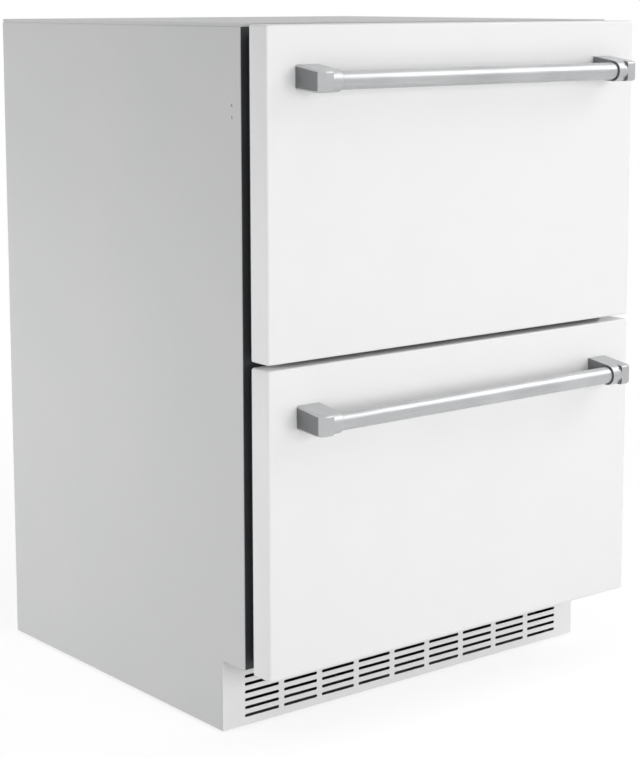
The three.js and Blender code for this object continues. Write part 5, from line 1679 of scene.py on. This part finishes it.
# ------------------------------------------------------------------ studio
@dataclass
class Studio:
    """Pale floor, soft light and the camera at the photograph's angle."""

    lens: float = 93.3
    shift: Pair = (-0.04, -0.135)
    yaw_degrees: float = 39.12
    pitch_degrees: float = -8.13
    place: Place = (-1.6413, -2.0738, 0.9)
    shadow_reach: float = 0.8
    covered: Place = (0.295, 0.0725, 0.245)  # half width, middle and half depth

    def build(self) -> None:
        """Makes the floor, the lights and the camera."""
        self.floor()
        self.world()
        self.lights()
        self.camera()
        bpy.context.scene.view_settings.view_transform = "Standard"

    def floor(self) -> None:
        """Lays a plain white floor that keeps the object's shadow."""
        bm = bmesh.new()
        bmesh.ops.create_grid(bm, x_segments=1, y_segments=1, size=30.0)
        mesh = bpy.data.meshes.new("studio_floor")
        bm.to_mesh(mesh)
        bm.free()
        floor = bpy.data.objects.new("studio_floor", mesh)
        bpy.context.scene.collection.objects.link(floor)
        material = bpy.data.materials.new("Studio floor, matt white")
        material.use_nodes = True
        tree = material.node_tree
        tree.nodes.clear()
        path = add_node(tree, "ShaderNodeLightPath").outputs
        where = add_node(tree, "ShaderNodeTexCoord").outputs["Object"]
        away = add_node(tree, "ShaderNodeVectorMath", operation="LENGTH", links={0: where}).outputs["Value"]
        fade = add_node(
            tree,
            "ShaderNodeMapRange",
            interpolation_type="SMOOTHSTEP",
            values={"From Min": self.shadow_reach, "From Max": self.shadow_reach * 2.4},
            links={"Value": away},
        ).outputs["Result"]
        matt = add_node(tree, "ShaderNodeBsdfDiffuse", values={"Color": linear("#e6e6e6")}).outputs["BSDF"]
        pale = add_node(tree, "ShaderNodeBsdfDiffuse", values={"Color": linear("#9e9e9e")}).outputs["BSDF"]
        glow = self.glow(tree, 0.79)
        lifted = add_node(tree, "ShaderNodeAddShader", links={0: pale, 1: glow}).outputs["Shader"]
        near = add_node(
            tree, "ShaderNodeMixShader", links={0: self.under_cabinet(tree, where), 1: lifted, 2: matt}
        ).outputs["Shader"]
        shown = add_node(
            tree, "ShaderNodeMixShader", links={0: fade, 1: near, 2: self.glow(tree, 1.0)}
        ).outputs["Shader"]
        seen = add_node(
            tree,
            "ShaderNodeMath",
            operation="MAXIMUM",
            links={0: path["Is Camera Ray"], 1: path["Is Glossy Ray"]},
        ).outputs["Value"]
        mixed = add_node(tree, "ShaderNodeMixShader", links={0: seen, 1: matt, 2: shown}).outputs["Shader"]
        add_node(tree, "ShaderNodeOutputMaterial", links={"Surface": mixed})
        mesh.materials.append(material)

    def under_cabinet(self, tree: NodeTree, where: NodeSocket) -> NodeSocket:
        """Returns 1 where the cabinet covers the floor, so that its slots look into the dark."""
        y = self.covered[1]
        local = add_node(
            tree, "ShaderNodeVectorMath", operation="ADD", values={1: (0.0, -y, 0.0)}, links={0: where}
        ).outputs["Vector"]
        reach = add_node(
            tree, "ShaderNodeVectorMath", operation="ABSOLUTE", links={0: local}
        ).outputs["Vector"]
        parts = add_node(tree, "ShaderNodeSeparateXYZ", links={"Vector": reach}).outputs
        beside = add_node(
            tree, "ShaderNodeMath", operation="LESS_THAN", values={1: self.covered[0]}, links={0: parts["X"]}
        ).outputs["Value"]
        between = add_node(
            tree, "ShaderNodeMath", operation="LESS_THAN", values={1: self.covered[2]}, links={0: parts["Y"]}
        ).outputs["Value"]
        return add_node(
            tree, "ShaderNodeMath", operation="MULTIPLY", links={0: beside, 1: between}
        ).outputs["Value"]

    def glow(self, tree: NodeTree, strength: float) -> NodeSocket:
        """Returns a plain white emission, where a strength of 1 is white."""
        return add_node(
            tree, "ShaderNodeEmission", values={"Color": (1.0, 1.0, 1.0, 1.0), "Strength": strength}
        ).outputs["Emission"]

    def world(self) -> None:
        """Makes a soft surrounding light whose backdrop is white."""
        world = bpy.data.worlds.new("studio")
        bpy.context.scene.world = world
        world.use_nodes = True
        tree = world.node_tree
        tree.nodes.clear()
        path = add_node(tree, "ShaderNodeLightPath").outputs
        soft = add_node(
            tree, "ShaderNodeBackground", values={"Color": (1.0, 1.0, 1.0, 1.0), "Strength": 0.42}
        ).outputs["Background"]
        white = add_node(
            tree, "ShaderNodeBackground", values={"Color": (1.0, 1.0, 1.0, 1.0), "Strength": 1.0}
        ).outputs["Background"]
        clear = add_node(
            tree,
            "ShaderNodeMath",
            operation="MAXIMUM",
            links={0: path["Is Camera Ray"], 1: path["Is Transmission Ray"]},
        ).outputs["Value"]
        seen = add_node(
            tree, "ShaderNodeMath", operation="MAXIMUM", links={0: clear, 1: path["Is Glossy Ray"]}
        ).outputs["Value"]
        mixed = add_node(tree, "ShaderNodeMixShader", links={0: seen, 1: soft, 2: white}).outputs["Shader"]
        add_node(tree, "ShaderNodeOutputWorld", links={"Surface": mixed})

    def lights(self) -> None:
        """Hangs the soft boxes; only the high right one shows in the metal."""
        self.soft_box("front", (0.2, -5.0, 0.9), (0.0, -0.3, 0.45), (4.0, 2.4), 100.0, False)
        self.soft_box("low", (0.1, -1.6, 0.06), (0.0, -0.3, 0.5), (2.6, 0.7), 4.6, False)
        self.soft_box("above", (-0.6, -0.6, 3.2), (0.0, 0.0, 0.5), (2.4, 2.4), 2.4, False)
        self.soft_box("rear side", (-1.6, 1.6, 0.15), (-0.3, 0.1, 0.3), (1.0, 0.5), 9.8, False)
        self.soft_box("low side", (-1.5, 0.3, 0.05), (-0.3, 0.1, 0.3), (1.6, 0.3), 6.6, False)
        self.soft_box("high right", (2.2, -1.6, 2.5), (0.0, -0.3, 0.6), (2.6, 1.6), 20.0, True)

    def soft_box(
        self,
        name: str,
        place: Place,
        aim: Place,
        face: Pair,
        power: float,
        shows: bool,
    ) -> None:
        """Adds an area light.

        Args:
            name: of the light.
            place: where it hangs, in metres.
            aim: what it points at.
            face: width and height of its face.
            power: in watts.
            shows: whether glossy surfaces reflect it.
        """
        data = bpy.data.lights.new(f"soft box {name}", "AREA")
        data.shape = "RECTANGLE"
        data.size, data.size_y = face
        data.energy = power
        lamp = bpy.data.objects.new(f"soft box {name}", data)
        lamp.visible_glossy = shows
        bpy.context.scene.collection.objects.link(lamp)
        lamp.location = place
        lamp.rotation_euler = (Vector(aim) - Vector(place)).to_track_quat("-Z", "Y").to_euler()

    def camera(self) -> None:
        """Sets the camera at the photograph's viewing angle."""
        data = bpy.data.cameras.new("photograph")
        data.lens = self.lens
        data.sensor_width = 36.0
        data.shift_x, data.shift_y = self.shift
        camera = bpy.data.objects.new("photograph", data)
        bpy.context.scene.collection.objects.link(camera)
        yaw, pitch = math.radians(self.yaw_degrees), math.radians(self.pitch_degrees)
        ahead = Vector((math.sin(yaw) * math.cos(pitch), math.cos(yaw) * math.cos(pitch), math.sin(pitch)))
        camera.location = self.place
        camera.rotation_euler = ahead.to_track_quat("-Z", "Y").to_euler()
        bpy.context.scene.camera = camera


def main() -> None:
    """Builds the sub-assemblies in order."""
    logging.basicConfig(level=logging.INFO, format="%(name)s: %(message)s")
    Cabinet().build()
    Machine().build()
    Evaporator().build()
    Interior().build()
    for level in Level:
        Drawer(level).build()
    Studio().build()


if __name__ == "__main__":
    main()
